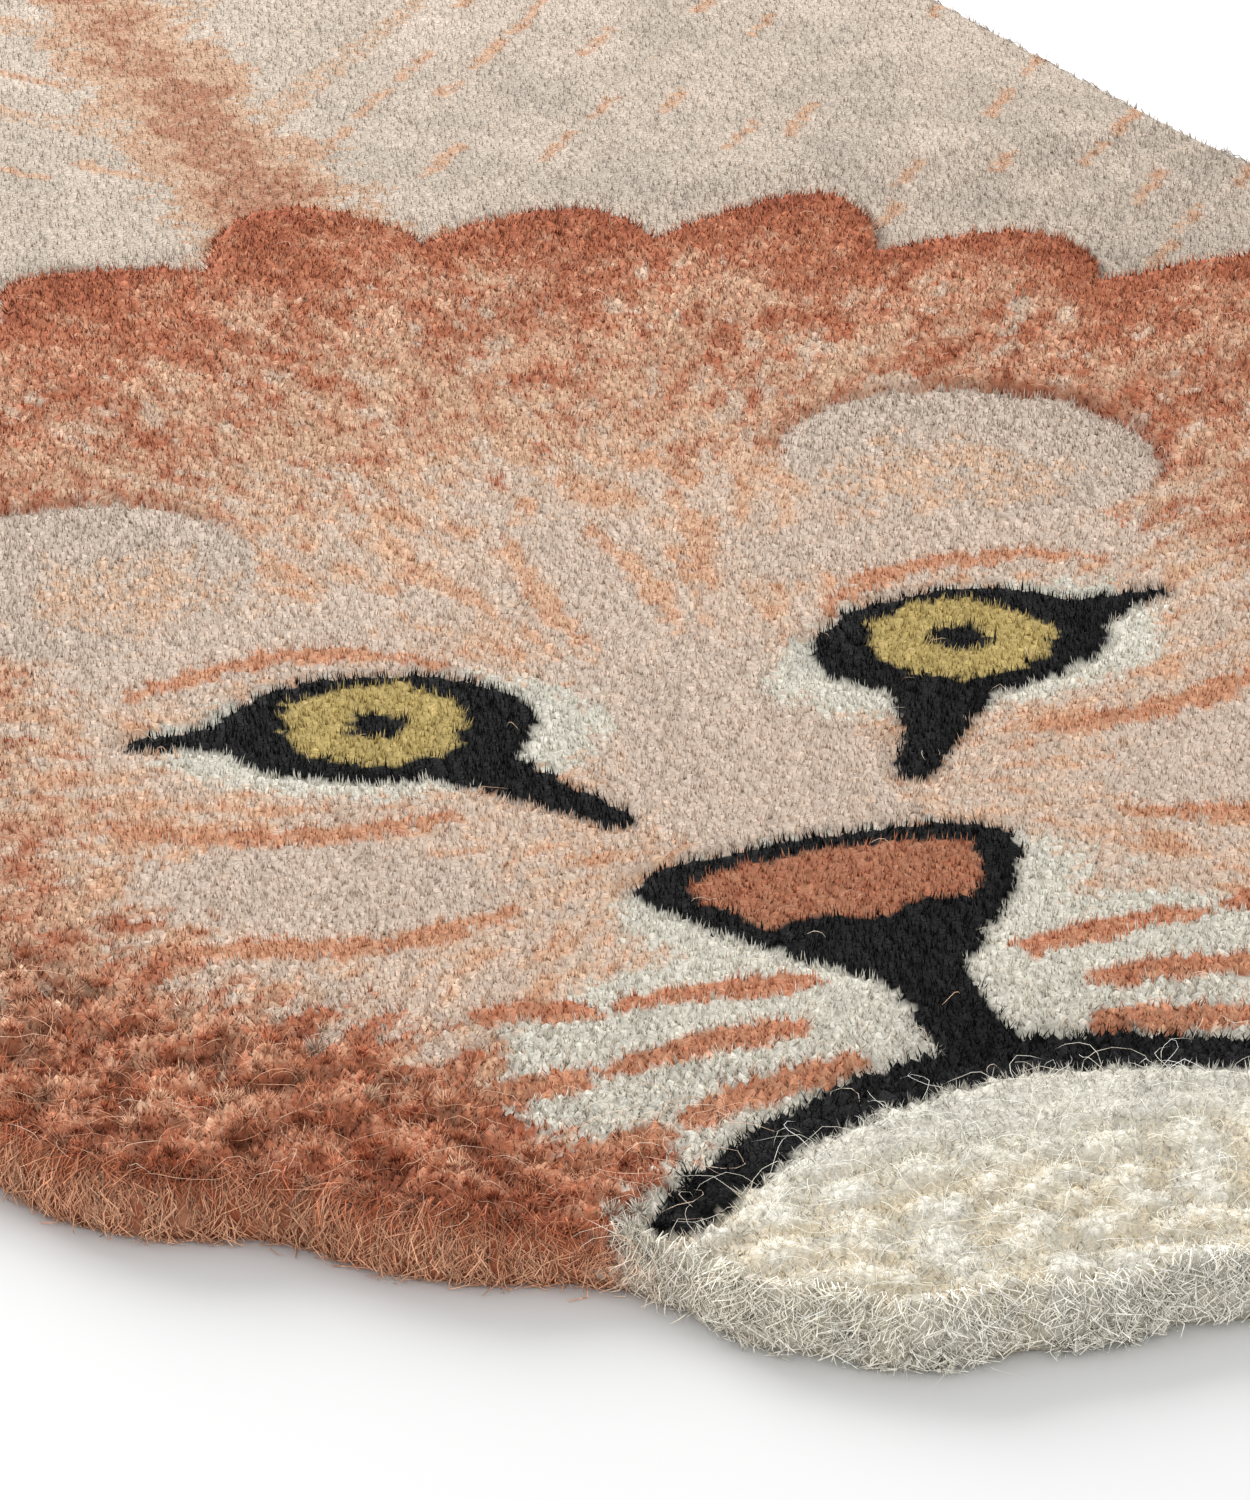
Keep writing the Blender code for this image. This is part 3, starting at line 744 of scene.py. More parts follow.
def paint(piece, colours, coarse):
    """The attribute that the wool reads: the vertices' linear colours, and as alpha the share of bump tufts.

    The UV map is the plan of the piece, X and Y scaled to 0 to 1.
    """
    mesh = piece.data
    attribute = mesh.attributes.new("yarn", "FLOAT_COLOR", "POINT")
    values = np.column_stack((colours, np.broadcast_to(coarse, len(colours)))).astype(np.float32)
    attribute.data.foreach_set("color", values.ravel())
    flat = np.empty(len(mesh.vertices) * 3, dtype=np.float32)
    mesh.vertices.foreach_get("co", flat)
    spots = flat.reshape(-1, 3)[:, :2]
    low = spots.min(axis=0)
    reach = (spots.max(axis=0) - low).max()
    corners = np.empty(len(mesh.loops), dtype=np.int32)
    mesh.loops.foreach_get("vertex_index", corners)
    layer = mesh.uv_layers.new(name="OFBake")
    places = UV_MARGIN + (1.0 - 2.0 * UV_MARGIN) * (spots[corners] - low) / reach
    layer.data.foreach_set("uv", places.astype(np.float32).ravel())


def strands(paths, radius, root_colour, tip_colour, rng):
    """Closed three-sided strands: a ring at each point of the path but the last, which is the tip.

    paths is strand by point by XYZ in millimetres. The rings are square to the path and narrow evenly.
    """
    count, steps, _ = paths.shape
    ahead = unit(np.gradient(paths, axis=1))
    side = unit(np.cross(ahead, rng.normal(size=(count, 1, 3))))
    up = np.cross(ahead, side)
    share = np.arange(steps) / (steps - 1.0)
    reach = radius[:, None, None] * (1.0 - 0.5 * share)[None, :, None]
    corners = [paths + reach * (math.cos(turn) * side + math.sin(turn) * up)
               for turn in (0.0, 2.0 * math.pi / 3.0, 4.0 * math.pi / 3.0)]
    rings = np.stack(corners, axis=2)[:, :-1].reshape(count, -1, 3)
    vertices = np.concatenate((rings, paths[:, -1:]), axis=1)
    tip = 3 * (steps - 1)
    pattern = [(0, 2, 1)]
    for a in range(0, tip, 3):
        for k in range(3):
            b = a + (k + 1) % 3
            if a + 3 < tip:
                pattern += [(a + k, b, b + 3), (a + k, b + 3, a + k + 3)]
            else:
                pattern.append((a + k, b, tip))
    faces = np.arange(count)[:, None, None] * (tip + 1) + np.array(pattern)[None]
    blend = np.append(np.repeat(share[:-1], 3), 1.0)[None, :, None]
    colours = root_colour[:, None] * (1.0 - blend) + tip_colour[:, None] * blend
    return vertices.reshape(-1, 3), faces.reshape(-1, 3), colours.reshape(-1, 3)


def wool_piece(name, vertices, faces, colours, material, coarse=0.0):
    """One piece of the pile, from millimetres, which rides on the rug's only body."""
    piece = new_piece(name, vertices * MM, faces, material)
    paint(piece, np.clip(colours, 0.0, 1.0), coarse)
    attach(piece, "root")
    return piece


def joined(parts):
    """Several (vertices, faces, colours) as one: the faces' numbers go on from part to part."""
    vertices, faces, colours = zip(*parts)
    shift = np.cumsum([0] + [len(rows) for rows in vertices[:-1]])
    faces = [rows + step for rows, step in zip(faces, shift)]
    return np.vstack(vertices), np.vstack(faces), np.vstack(colours)


# ================================================================ pile
def in_picture(x, y):
    """True where the picture looks: a strip over the head that widens away from the camera.

    Its edge is uneven by slow noise, so that no straight line shows in the pile.
    """
    turn = math.radians(CAMERA_TURN_DEG)
    dx = x - CAMERA_TARGET[0]
    dy = y - CAMERA_TARGET[1]
    across = np.abs(dx * math.cos(turn) - dy * math.sin(turn))
    ahead = dx * math.sin(turn) + dy * math.cos(turn)
    wobble = STRIP_WOBBLE * np.clip(slow_noise(x, y, 30.0, 21.0), -1.0, 1.0)
    return (across < STRIP_HALF + STRIP_WIDENING * ahead + wobble) & (ahead < STRIP_END + wobble)


def roughness(x, y):
    """0 on the evenly cut pile, 1 on the shaggy front of the mane and the chin."""
    in_mane = smooth_step(6.0, -6.0, beyond_mane(x, y)) * smooth_step(170.0, 230.0, mane_polar(x, y)[1])
    front = smooth_step(95.0, 140.0, degrees_off(x, y))
    return np.maximum(in_mane * (0.45 + 0.55 * front), 0.5 * chin_share(x, y) + 0.5 * chin_shag(x, y))


def chin_shag(x, y):
    """1 in the chin's shaggy front, 0 elsewhere."""
    return chin_share(x, y) * smooth_step(*CHIN_SHAG_Y, y)


def evenness(x, y):
    """1 on back, legs and tail, where the pile is calm, and 0 on the head."""
    return smooth_step(-6.0, 6.0, beyond_mane(x, y)) * (y > -380.0)


def front_shag(x, y):
    """1 in the long, shaggy front of the mane, 0 elsewhere."""
    muzzle = ellipse_distance(np.abs(x), y, MUZZLE_CENTRE, MUZZLE_RADII)
    off_muzzle = smooth_step(4.0, 16.0, muzzle) * (1.0 - chin_share(x, y))
    in_front = smooth_step(98.0, 112.0, degrees_off(x, y))
    return in_front * smooth_step(205.0, 235.0, mane_polar(x, y)[1]) * off_muzzle


def is_chin(x, y):
    """True in the chin's longer locks."""
    return chin_share(x, y) >= 0.5


def lumps(x, y):
    """0 to 1: the round heads of the chin's locks, the larger of two bent grids of half sines."""
    first = np.abs(np.sin(x / 5.1 + 0.6 * np.sin(y / 13.0)) * np.sin(y / 4.3 + 0.8 * np.sin(x / 11.0)))
    second = np.abs(np.cos(x / 6.3 + 0.9 * np.sin(y / 9.0)) * np.cos(y / 5.2 + 0.7 * np.sin(x / 15.0)))
    return np.maximum(first, second)


def front_heads(x, y):
    """-0.6 to 0.4: the clumps of the mane's front, on the chin's two grids made wider and bent by noise."""
    bend = 3.0 * slow_noise(x, y, 26.0, 17.0)
    return lumps((x + bend) / FRONT_LUMP_SIZE, (y - 0.7 * bend) / FRONT_LUMP_SIZE) - 0.6


class Tufts:
    """Tufts of one pitch, and the gaps between three of them: places, colours and heights."""

    def __init__(self, pitch, wanted, yarn, rng):
        """A triangular grid inside the rim, where it is wanted, each place moved by a share of the pitch."""
        edge = rug_edge(RIM_RINGS[-1][0] + 0.8)
        rows = np.arange(-GRID_REACH[1], GRID_REACH[1], pitch * ROW_STEP)
        x, y = np.meshgrid(np.arange(-GRID_REACH[0], GRID_REACH[0], pitch), rows)
        x = x + 0.5 * pitch * (np.arange(len(rows)) % 2)[:, None]
        grid = np.column_stack((x.ravel(), y.ravel()))
        grid = grid[wanted(*grid.T)]
        gaps = np.vstack([grid + np.array(place) * pitch for place in GAP_PLACES])
        self.pitch = pitch
        self.spots = grid[inside(grid, edge)]
        self.spots += rng.uniform(-SPOT_JITTER, SPOT_JITTER, self.spots.shape) * pitch
        self.gaps = gaps[inside(gaps, edge)]
        self.gaps += rng.uniform(-GAP_JITTER, GAP_JITTER, self.gaps.shape) * pitch
        self.finish_spots(yarn, rng)
        self.finish_gaps(yarn, rng)

    def finish_spots(self, yarn, rng):
        """Colours, height and slope at the tufts.

        The drawing's colour is a little darker in a carved line, as painted shade in the groove, and uneven
        from tuft to tuft. The clumps of the mane's front are lighter and mixed with peach on top, as a
        painted highlight, and darker and mixed with dark rust in their hollows, as painted shade. Those of
        the chin are mixed with white on their heads, as a painted highlight, and with straw in their hollows,
        as painted shade.
        Fibre tips are paler where the pile is rough, as a painted highlight. The height is the solid's less
        the carved line, uneven too, plus the clumps. The slope is the solid's, from points 1 mm to each side.
        """
        x, y = self.spots.T
        n = len(x)
        self.rough = roughness(x, y)
        colour, carve = yarn_drawing(x, y, yarn, rng)
        in_chin = chin_share(x, y)
        chin_lumps = lumps(x, y)
        calm = 1.0 - 0.5 * evenness(x, y)
        shag = front_shag(x, y) * min(1.0, FINE_PITCH / self.pitch)
        heads = front_heads(x, y)
        # Painted shade: a tuft in a carved line is darker by a tenth for each millimetre of the line's depth;
        # the two random terms are uneven tone.
        shade = 1.0 - 0.1 * carve + calm * rng.normal(0.0, 0.04, n) + self.rough * rng.normal(0.0, 0.13, n)
        colour *= shade[:, None]
        # Painted highlight and shade on the clumps of the mane's front: lighter and peach on top, darker and
        # dark rust in the hollows.
        colour *= (1.0 + 0.8 * shag * heads)[:, None]
        high = shag * dyed_share(colour) * smooth_step(0.05, 0.4, heads)
        hollow = shag * dyed_share(colour) * smooth_step(0.05, -0.3, heads)
        colour = mix(colour, yarn["peach"], 0.55 * high)
        colour = mix(colour, 0.62 * yarn["rust"], 0.45 * hollow)
        # Painted highlight and shade on the chin's shaggy clumps: white on their heads, straw in their
        # hollows.
        dyed = dyed_share(colour) * chin_shag(x, y)
        colour = mix(colour, yarn["straw"], 0.45 * dyed * smooth_step(0.8, 0.3, chin_lumps))
        self.colour = mix(colour, yarn["white"], 0.9 * dyed * smooth_step(0.6, 0.95, chin_lumps))
        # How much painted shade the roots of the fibre ends get: more where the pile is rough, less in the
        # chin.
        self.deep = self.rough * (1.0 - 0.8 * in_chin)
        # Painted highlight: the fibre tips are paler and more peach where the pile is rough, less so in the
        # hollows.
        pale = 0.36 * self.rough * (1.0 - in_chin) * (1.0 - 0.6 * hollow) * dyed_share(self.colour)
        self.tip = mix(self.colour * (1.01 + 0.3 * pale)[:, None], yarn["peach"], pale)
        uneven = 0.2 * calm + 0.4 * self.rough * (1.0 - 0.5 * in_chin)
        self.top = top_height(x, y) - carve + uneven * rng.normal(0.0, 1.0, n)
        self.top += chin_shag(x, y) * CHIN_LUMP * (chin_lumps - 0.7) + FRONT_LUMP * shag * heads
        self.slope = np.column_stack((top_height(x + 1.0, y) - top_height(x - 1.0, y),
                                      top_height(x, y + 1.0) - top_height(x, y - 1.0))) / 2.0

    def finish_gaps(self, yarn, rng):
        """Colour and height at the gaps: the drawing's, darker as painted shade, and the solid's, lower where
        it is shaggy.
        """
        x, y = self.gaps.T
        self.gap_colour, carve = yarn_drawing(x, y, yarn, rng)
        in_chin = chin_share(x, y)
        even = evenness(x, y)
        shag = front_shag(x, y)
        heads = front_heads(x, y)
        # Painted shade in the gaps between tufts, less of it on the calm body and in the chin.
        self.gap_colour *= (GAP_SHADE + (1.0 - GAP_SHADE) * np.maximum(even, in_chin))[:, None]
        # Painted highlight and shade over the clumps of the mane's front, as on the tufts.
        self.gap_colour *= (1.0 + 0.9 * shag * heads)[:, None]
        drop = GAP_DROP * (1.0 - 0.5 * even) + SHAGGY_GAP_DROP * roughness(x, y) * (1.0 - 0.9 * in_chin)
        self.gap_top = top_height(x, y) - carve - drop + FRONT_LUMP * shag * heads
        self.gap_top += chin_shag(x, y) * CHIN_LUMP * (lumps(x, y) - 0.7)


def all_tufts(sizes, yarn):
    """The rug's tufts: fine ones where the picture looks, long ones in the chin, wider ones elsewhere."""
    rng = np.random.default_rng(SEEDS["tufts"])
    near = Tufts(sizes.pitch / MM, lambda x, y: in_picture(x, y) & ~is_chin(x, y), yarn, rng)
    chin = Tufts(sizes.chin_pitch / MM, is_chin, yarn, rng)
    far = Tufts(sizes.far_pitch / MM, lambda x, y: ~in_picture(x, y) & ~is_chin(x, y), yarn, rng)
    return near, chin, far


def fibre_ends(tufts, chosen, number, length, spread, rng):
    """Fibre ends that fan out of the chosen tufts: the further from the tuft's middle, the more they lean.

    They are evenly spread over the tuft's disc, more of them on a slope, and lean with the nap and away
    from the slope too.
    """
    spots = tufts.spots[chosen]
    steepness = np.sqrt(1.0 + (tufts.slope[chosen] ** 2).sum(axis=1))
    count = np.floor(number * steepness + rng.random(len(spots))).astype(int)
    owner = np.repeat(np.arange(len(spots)), count)
    n = len(owner)
    turn = rng.uniform(0.0, 2.0 * math.pi, n)
    around = np.column_stack((np.cos(turn), np.sin(turn)))
    out = 0.5 * np.sqrt(rng.random(n))[:, None]
    place = spots[owner] + around * out * tufts.pitch
    rough = tufts.rough[chosen][owner]
    depth = MIDDLE_DROP + (GAP_DROP - MIDDLE_DROP + SHAGGY_GAP_DROP * rough) * out[:, 0] / GAP_PLACES[1][1]
    slope = tufts.slope[chosen][owner]
    along_slope = (slope * (place - spots[owner])).sum(axis=1)
    root = np.column_stack((place, tufts.top[chosen][owner] + along_slope - depth - ROOT_DEPTH))
    nap = np.column_stack((slow_noise(*place.T, 30.0, 11.0), slow_noise(*place.T, 33.0, 12.0))) * NAP_LEAN
    fan = (0.35 + 0.9 * rough)[:, None] * spread
    lean = around * out * fan - 0.6 * slope + nap + rng.normal(0.0, 0.16, (n, 2)) * (0.7 + rough)[:, None]
    ahead = unit(np.column_stack((lean, np.ones(n))))
    tip = root + ahead * (length * rng.uniform(0.7, 1.2, n))[:, None]
    uneven = (1.0 + (0.02 + 0.09 * rough) * rng.normal(0.0, 1.0, n))[:, None]
    tip_colour = tufts.tip[chosen][owner] * uneven
    # Painted shade: a fibre end is darker at its root than at its tip.
    root_colour = tufts.colour[chosen][owner] * uneven * (0.95 - 0.22 * tufts.deep[chosen][owner])[:, None]
    radius = rng.uniform(*FIBRE_RADIUS, n) * math.sqrt(FIBRES_AT_RADIUS / number)
    return strands(np.stack((root, tip), axis=1), radius, root_colour, tip_colour, rng)


def ground_mesh(tufts):
    """Closed ground: rings up the rim, a top through the tufts' middles and gaps, and a flat base."""
    near, chin, far = tufts
    rings = []
    for distance, share in RIM_RINGS:
        ring = rug_edge(distance)
        rings.append(np.column_stack((ring, (top_height(*ring.T) - FAR_DROP) * share)))
    count = len(rings[0])
    k = np.arange(count)
    after = np.roll(k, -1)
    faces = []
    for low in range(0, count * (len(rings) - 1), count):
        for corners in ((k, after, after + count), (k, after + count, k + count)):
            faces.append(np.column_stack(corners) + low)
    inner = []
    for fine in (near, chin):
        inner.append(np.column_stack((fine.spots, fine.top - MIDDLE_DROP)))
        inner.append(np.column_stack((fine.gaps, fine.gap_top)))
    inner = np.vstack(inner + [np.column_stack((far.spots, far.top - FAR_DROP))])
    faces.append(fill(rings[-1][:, :2], inner[:, :2]) + count * (len(rings) - 1))
    base = fill(rings[0][:, :2], np.empty((0, 2)))[:, ::-1]
    faces = np.vstack(faces + [base])
    is_base = np.arange(len(faces)) >= len(faces) - len(base)
    return np.vstack(rings + [inner]), faces, is_base


def fill(boundary, inner):
    """Triangles inside a closed boundary, through the inner points, as rows of indices into both."""
    coords = [Vector(p) for p in np.vstack((boundary, inner)).tolist()]
    result = delaunay_2d_cdt(coords, [], [list(range(len(boundary)))], 1, 1e-5)
    origins = np.array([origin[0] for origin in result[3]])
    return origins[np.array(result[2])]


def sideways(directions):
    """The plan directions turned by 90 degrees to the left."""
    return np.column_stack((-directions[:, 1], directions[:, 0]))


def rim_places(per_mm, chosen, rng):
    """Random places along the rim where it is chosen: XY, the direction away from the rug, the way so far."""
    outline = half_outline(1.0)
    normals = outward_normals(outline)
    places = []
    for side in (1.0, -1.0):
        mirror = np.array((side, 1.0))
        spots = outline * mirror
        wanted = np.flatnonzero(chosen(*spots.T, *(normals * mirror).T))
        picked = rng.choice(wanted, int(per_mm * len(wanted)))
        away = normals[picked] * mirror
        shift = rng.uniform(-0.5, 0.5, len(picked))
        moved = spots[picked] + sideways(away) * shift[:, None]
        places.append(np.column_stack((moved, away, side * (picked + side * shift))))
    places = np.vstack(places)
    return places[:, :2], places[:, 2:4], places[:, 4]


def faces_camera(x, y, away_x, away_y):
    """True where the rim is in the picture and turned to the camera."""
    turn = math.radians(CAMERA_TURN_DEG)
    return in_picture(x, y) & (away_x * math.sin(turn) + away_y * math.cos(turn) < CAMERA_FACING)


def rim_strands(per_mm, chosen, yarn, rng):
    """Strands over the rim: each runs down the wall from its own height, in a wave, and stands off it.

    They gather in bundles, each with its own shade. The place across the wall is read from the ground's
    rings, so a strand follows the wall's bulge.
    """
    spots, away, way = rim_places(per_mm, chosen, rng)
    n = len(spots)
    across = sideways(away)
    insets, shares = np.array(RIM_RINGS + (RIM_INNER,)).T
    run = np.concatenate(([0.0], np.cumsum(np.hypot(np.diff(insets), np.diff(shares) * BODY_TOP))))
    well_in = (spots - RIM_HEIGHT_IN * away).T
    top = top_height(*well_in) - FAR_DROP
    shag = roughness(*well_in)
    fluffy = chin_share(*well_in)
    bundle = np.floor(way / BUNDLE_WIDTH)
    gather = (bundle + 0.5) * BUNDLE_WIDTH - way
    sway = 3.0 * (cell_random(bundle, 0.0, 1.0) - 0.5)
    high = rng.uniform(0.15, 1.0, n) * run[-1]
    low = high - rng.uniform(4.0, 9.0, n) * (1.0 - 0.4 * fluffy)
    wave = rng.normal(0.0, 0.6 + 1.0 * shag, n)
    drift = rng.normal(0.0, 1.0 + 1.6 * shag, n)
    off = rng.uniform(0.0, 0.5, n) + shag * rng.exponential(1.1, n)
    off += 0.9 * shag * cell_random(bundle, 0.0, 3.0)
    points = []
    for share in (0.0, 0.4, 0.75, 1.0):
        place = np.maximum(high + (low - high) * share, WALL_LOWEST)
        height = np.interp(place, run, shares)
        inset_here = np.interp(place, run, insets)
        aside = 0.5 * gather + (drift + sway * shag) * share + wave * math.sin(1.7 * math.pi * share)
        reach = off * math.sin(0.6 * math.pi * share) - inset_here + 0.15
        lift = 0.5 + (place > run[-2]) * 0.6
        flat = spots + away * reach[:, None] + across * aside[:, None]
        points.append(np.column_stack((flat, height * top + lift * height)))
    colour, _ = yarn_drawing(*(spots - RIM_COLOUR_IN * away).T, yarn, rng)
    dyed = dyed_share(colour) * (1.0 - fluffy)
    # Painted light: shaggy strands that start low on the wall are paler, mixed with tan and peach.
    paler = WALL_PALENESS * shag * smooth_step(1.0, 0.7, high / run[-1])
    paler *= 0.7 + 0.3 * cell_random(bundle, 0.0, 2.0)
    colour = mix(colour, mix(yarn["tan"], yarn["peach"], rng.uniform(0.0, 0.6, n)), paler * dyed)
    colour = mix(colour, yarn["white"], 0.85 * fluffy * dyed_share(colour))
    # Painted light: the wall's strands are brightened by 1.2, by 1.05 in the chin; the random terms are
    # uneven tone.
    shade = 1.2 - 0.15 * fluffy + (1.0 - 0.6 * fluffy) * rng.normal(0.0, 0.12 + 0.08 * shag, n)
    shade += 0.35 * (cell_random(bundle, 0.0, 4.0) - 0.5) * shag * (1.0 - 0.7 * fluffy)
    colour *= shade[:, None]
    # Painted shade and light: each strand is 10 % lighter at its tip than at its root.
    return strands(np.stack(points, axis=1), rng.uniform(*STRAND_RADIUS, n), colour, colour * 1.1, rng)


def puffs(spots, axis, colour, size, number, rng):
    """Fluffy heads: a dome of straight fibres round each spot's axis, and a few long ones that curl.

    A fibre that starts further from the axis is shorter and leans more.
    """
    axis = unit(axis)
    owner = np.repeat(np.arange(len(spots)), number)
    n = len(owner)
    offset = rng.normal(0.0, 1.0, (n, 3))
    offset -= axis[owner] * (offset * axis[owner]).sum(axis=1)[:, None]
    offset *= (np.sqrt(rng.random(n)) / np.linalg.norm(offset, axis=1))[:, None]
    middle_ness = 1.0 - 0.45 * (offset ** 2).sum(axis=1)
    ahead = unit(axis[owner] + 1.3 * offset + rng.normal(0.0, 0.3, (n, 3)))
    start = spots[owner] + offset * (HEAD_ROUNDNESS * size[owner])[:, None]
    end = start + ahead * (size[owner] * middle_ness * rng.uniform(0.85, 1.1, n))[:, None]
    end[:, 2] = np.clip(end[:, 2], *HEAD_HEIGHTS)
    shade = colour[owner] * (1.0 + rng.normal(0.0, 0.07, n))[:, None]
    paths = np.stack((start, end), axis=1)
    # Painted shade at the roots and light at the tips: each straight fibre goes from 0.9 to 1.08 of its
    # colour.
    straight = strands(paths, rng.uniform(*HEAD_RADIUS, n), shade * 0.9, shade * 1.08, rng)
    owner = np.repeat(np.arange(len(spots)), CURLED_FIBRES)
    n = len(owner)
    ahead = axis[owner] * 0.8 + rng.normal(0.0, 0.5, (n, 3))
    start = spots[owner]
    middle = start + ahead * (size[owner] * 0.8)[:, None]
    end = middle + (0.5 * ahead + rng.normal(0.0, 0.8, (n, 3))) * (size[owner] * 0.7)[:, None]
    paths = np.stack((start, middle, end), axis=1)
    paths[:, 1:, 2] = np.clip(paths[:, 1:, 2], *HEAD_HEIGHTS)
    shade = colour[owner] * rng.uniform(1.0, 1.35, n)[:, None]
    # The curled fibres are 10 % lighter at their tips, as painted light.
    return joined((straight, strands(paths, rng.uniform(*CURL_RADIUS, n), shade, shade * 1.1, rng)))


def rim_puffs(per_mm, yarn, rng):
    """Fluffy heads along the top edge of the wall that faces the camera, tilted outwards over it."""
    spots, away, _ = rim_places(
        per_mm, lambda x, y, *away: faces_camera(x, y, *away) & (y < RIM_HEADS_BACK_Y), rng)
    n = len(spots)
    well_in = spots - RIM_HEIGHT_IN * away
    fluffy = chin_share(*well_in.T)
    insets, shares = np.array(RIM_RINGS).T
    share = 1.0 - fluffy * rng.uniform(0.0, 0.8, n)
    depth = np.interp(share, shares, insets) + rng.uniform(-0.5, 2.0, n)
    height = share * top_height(*well_in.T) - rng.uniform(1.6, 3.2, n)
    axis = np.column_stack((away * rng.uniform(0.5, 1.2, n)[:, None], 0.2 + 0.6 * share))
    colour, _ = yarn_drawing(*well_in.T, yarn, rng)
    dyed = dyed_share(colour) * (1.0 - fluffy)
    colour = mix(colour, yarn["peach"], dyed * rng.uniform(-0.3, 0.5, n))
    colour = mix(colour, yarn["white"], 0.8 * fluffy * dyed_share(colour))
    colour *= (1.0 + rng.uniform(-0.2, 0.25, n) * (1.0 - 0.8 * fluffy))[:, None]
    place = np.column_stack((spots - away * depth[:, None], np.maximum(height, 1.0)))
    return puffs(place, axis, colour, rng.uniform(*RIM_HEAD_SIZE, n), RIM_HEAD_FIBRES, rng)


def front_puffs(yarn, rng):
    """Fluffy heads on a jittered grid over the shaggy front of the mane, as far as the picture shows it."""
    pitch = FRONT_HEAD_PITCH
    (left, right), (front, back) = FRONT_HEAD_FIELD
    x, y = np.meshgrid(np.arange(left, right, pitch), np.arange(front, back, pitch * ROW_STEP))
    spots = np.column_stack((x.ravel(), y.ravel())) + rng.uniform(-0.45, 0.45, (x.size, 2)) * pitch
    spots = spots[inside(spots, rug_edge(5.0)) & in_picture(*spots.T)]
    spots = spots[front_shag(*spots.T) > 0.5]
    n = len(spots)
    colour, _ = yarn_drawing(*spots.T, yarn, rng)
    colour *= rng.uniform(*FRONT_HEAD_SHADE, n)[:, None]
    axis = np.column_stack((rng.normal(0.0, 0.25, (n, 2)), np.ones(n)))
    size = rng.uniform(*FRONT_HEAD_SIZE, n)
    place = np.column_stack((spots, top_height(*spots.T) - 0.3 * size))
    return puffs(place, axis, colour, size, FRONT_HEAD_FIBRES, rng)


def wandering(count, yarn, rng):
    """Loose fibres: each starts in the pile, wanders over it in a bend and comes down at its end.

    Most of them lie on the head's shaggy front, few of them away from the picture, and few in ink.
    """
    x, y = [rng.uniform(-reach, reach, count * LOOSE_TRIES) for reach in LOOSE_REACH]
    head_front = smooth_step(-430.0, -560.0, y - 0.35 * np.abs(x))
    shaggy = np.maximum(chin_share(x, y), head_front * (np.hypot(x, y - MANE_CENTRE_Y) > 230.0))
    wanted = 0.03 + 0.15 * in_picture(x, y) + 0.82 * shaggy * in_picture(x, y)
    spots = np.column_stack((x, y))
    keep = (rng.random(len(x)) < wanted) & inside(spots, rug_edge(1.5))
    spots = spots[keep]
    shaggy = shaggy[keep]
    colour, _ = yarn_drawing(*spots.T, yarn, rng)
    keep = (colour.mean(axis=1) > 0.05) | (rng.random(len(spots)) < 0.2)
    spots, shaggy, colour = [rows[keep][:count] for rows in (spots, shaggy, colour)]
    n = len(spots)
    pale = mix(yarn["peach"], yarn["white"], np.maximum(chin_share(*spots.T), rng.uniform(-0.6, 0.5, n)))
    # Mixed with pale yarn, their own paler colour, and brightened by 1.25 as painted light.
    colour = mix(colour, pale, rng.uniform(0.3, 0.9, n) + 0.5 * (1.0 - dyed_share(colour))) * 1.25
    heading = rng.uniform(0.0, 2.0 * math.pi, n)
    curl = rng.normal(0.0, 1.4 + 0.8 * shaggy, n)
    length = rng.uniform(*LOOSE_LENGTH, n) + shaggy * rng.uniform(0.0, 14.0, n)
    lift = rng.uniform(0.2, 1.2, n) + shaggy * rng.uniform(0.0, 0.6, n)
    place = np.column_stack((spots, top_height(*spots.T) - 1.6))
    points = [place]
    for k, height in enumerate((0.6, 1.1, 1.0, 0.3, -0.5)):
        turned = heading + curl * (k / 5.0) ** 1.3
        step = np.column_stack((np.cos(turned), np.sin(turned))) * (length / 5.0)[:, None]
        flat = points[-1][:, :2] + step
        rise = 1.2 + height * lift * rng.uniform(0.4, 1.4, n)
        points.append(np.column_stack((flat, np.maximum(place[:, 2] + rise, WALL_LOWEST))))
    # Painted shade and light: each loose fibre is 15 % lighter at its end than at its start in the pile.
    return strands(np.stack(points, axis=1), rng.uniform(*LOOSE_RADIUS, n), colour, colour * 1.15, rng)


# ================================================================ materials
def new_group(name, inputs):
    """An empty shader node group with float inputs (name, default) and the outputs Shade and Height."""
    group = bpy.data.node_groups.new(name, "ShaderNodeTree")
    for title, default in inputs:
        socket = group.interface.new_socket(title, in_out="INPUT", socket_type="NodeSocketFloat")
        socket.default_value = default
    for title in ("Shade", "Height"):
        group.interface.new_socket(title, in_out="OUTPUT", socket_type="NodeSocketFloat")
    return group, group.nodes.new("NodeGroupInput").outputs, group.nodes.new("NodeGroupOutput").inputs


def add_node(tree, kind, values, **options):
    """A shader node with its options. values are numbers for its inputs, or the sockets that feed them."""
    node = tree.nodes.new("ShaderNode" + kind)
    for title, value in options.items():
        setattr(node, title, value)
    for title, value in values.items():
        if isinstance(value, bpy.types.NodeSocket):
            tree.links.new(value, node.inputs[title])
        else:
            node.inputs[title].default_value = value
    return node


def maths(tree, operation, *terms):
    """The result of a math node on terms that are numbers or sockets."""
    return add_node(tree, "Math", dict(enumerate(terms)), operation=operation).outputs[0]


def scaled(tree, colour, factor):
    """A colour times a factor."""
    return add_node(tree, "VectorMath", {0: colour, "Scale": factor}, operation="SCALE").outputs["Vector"]


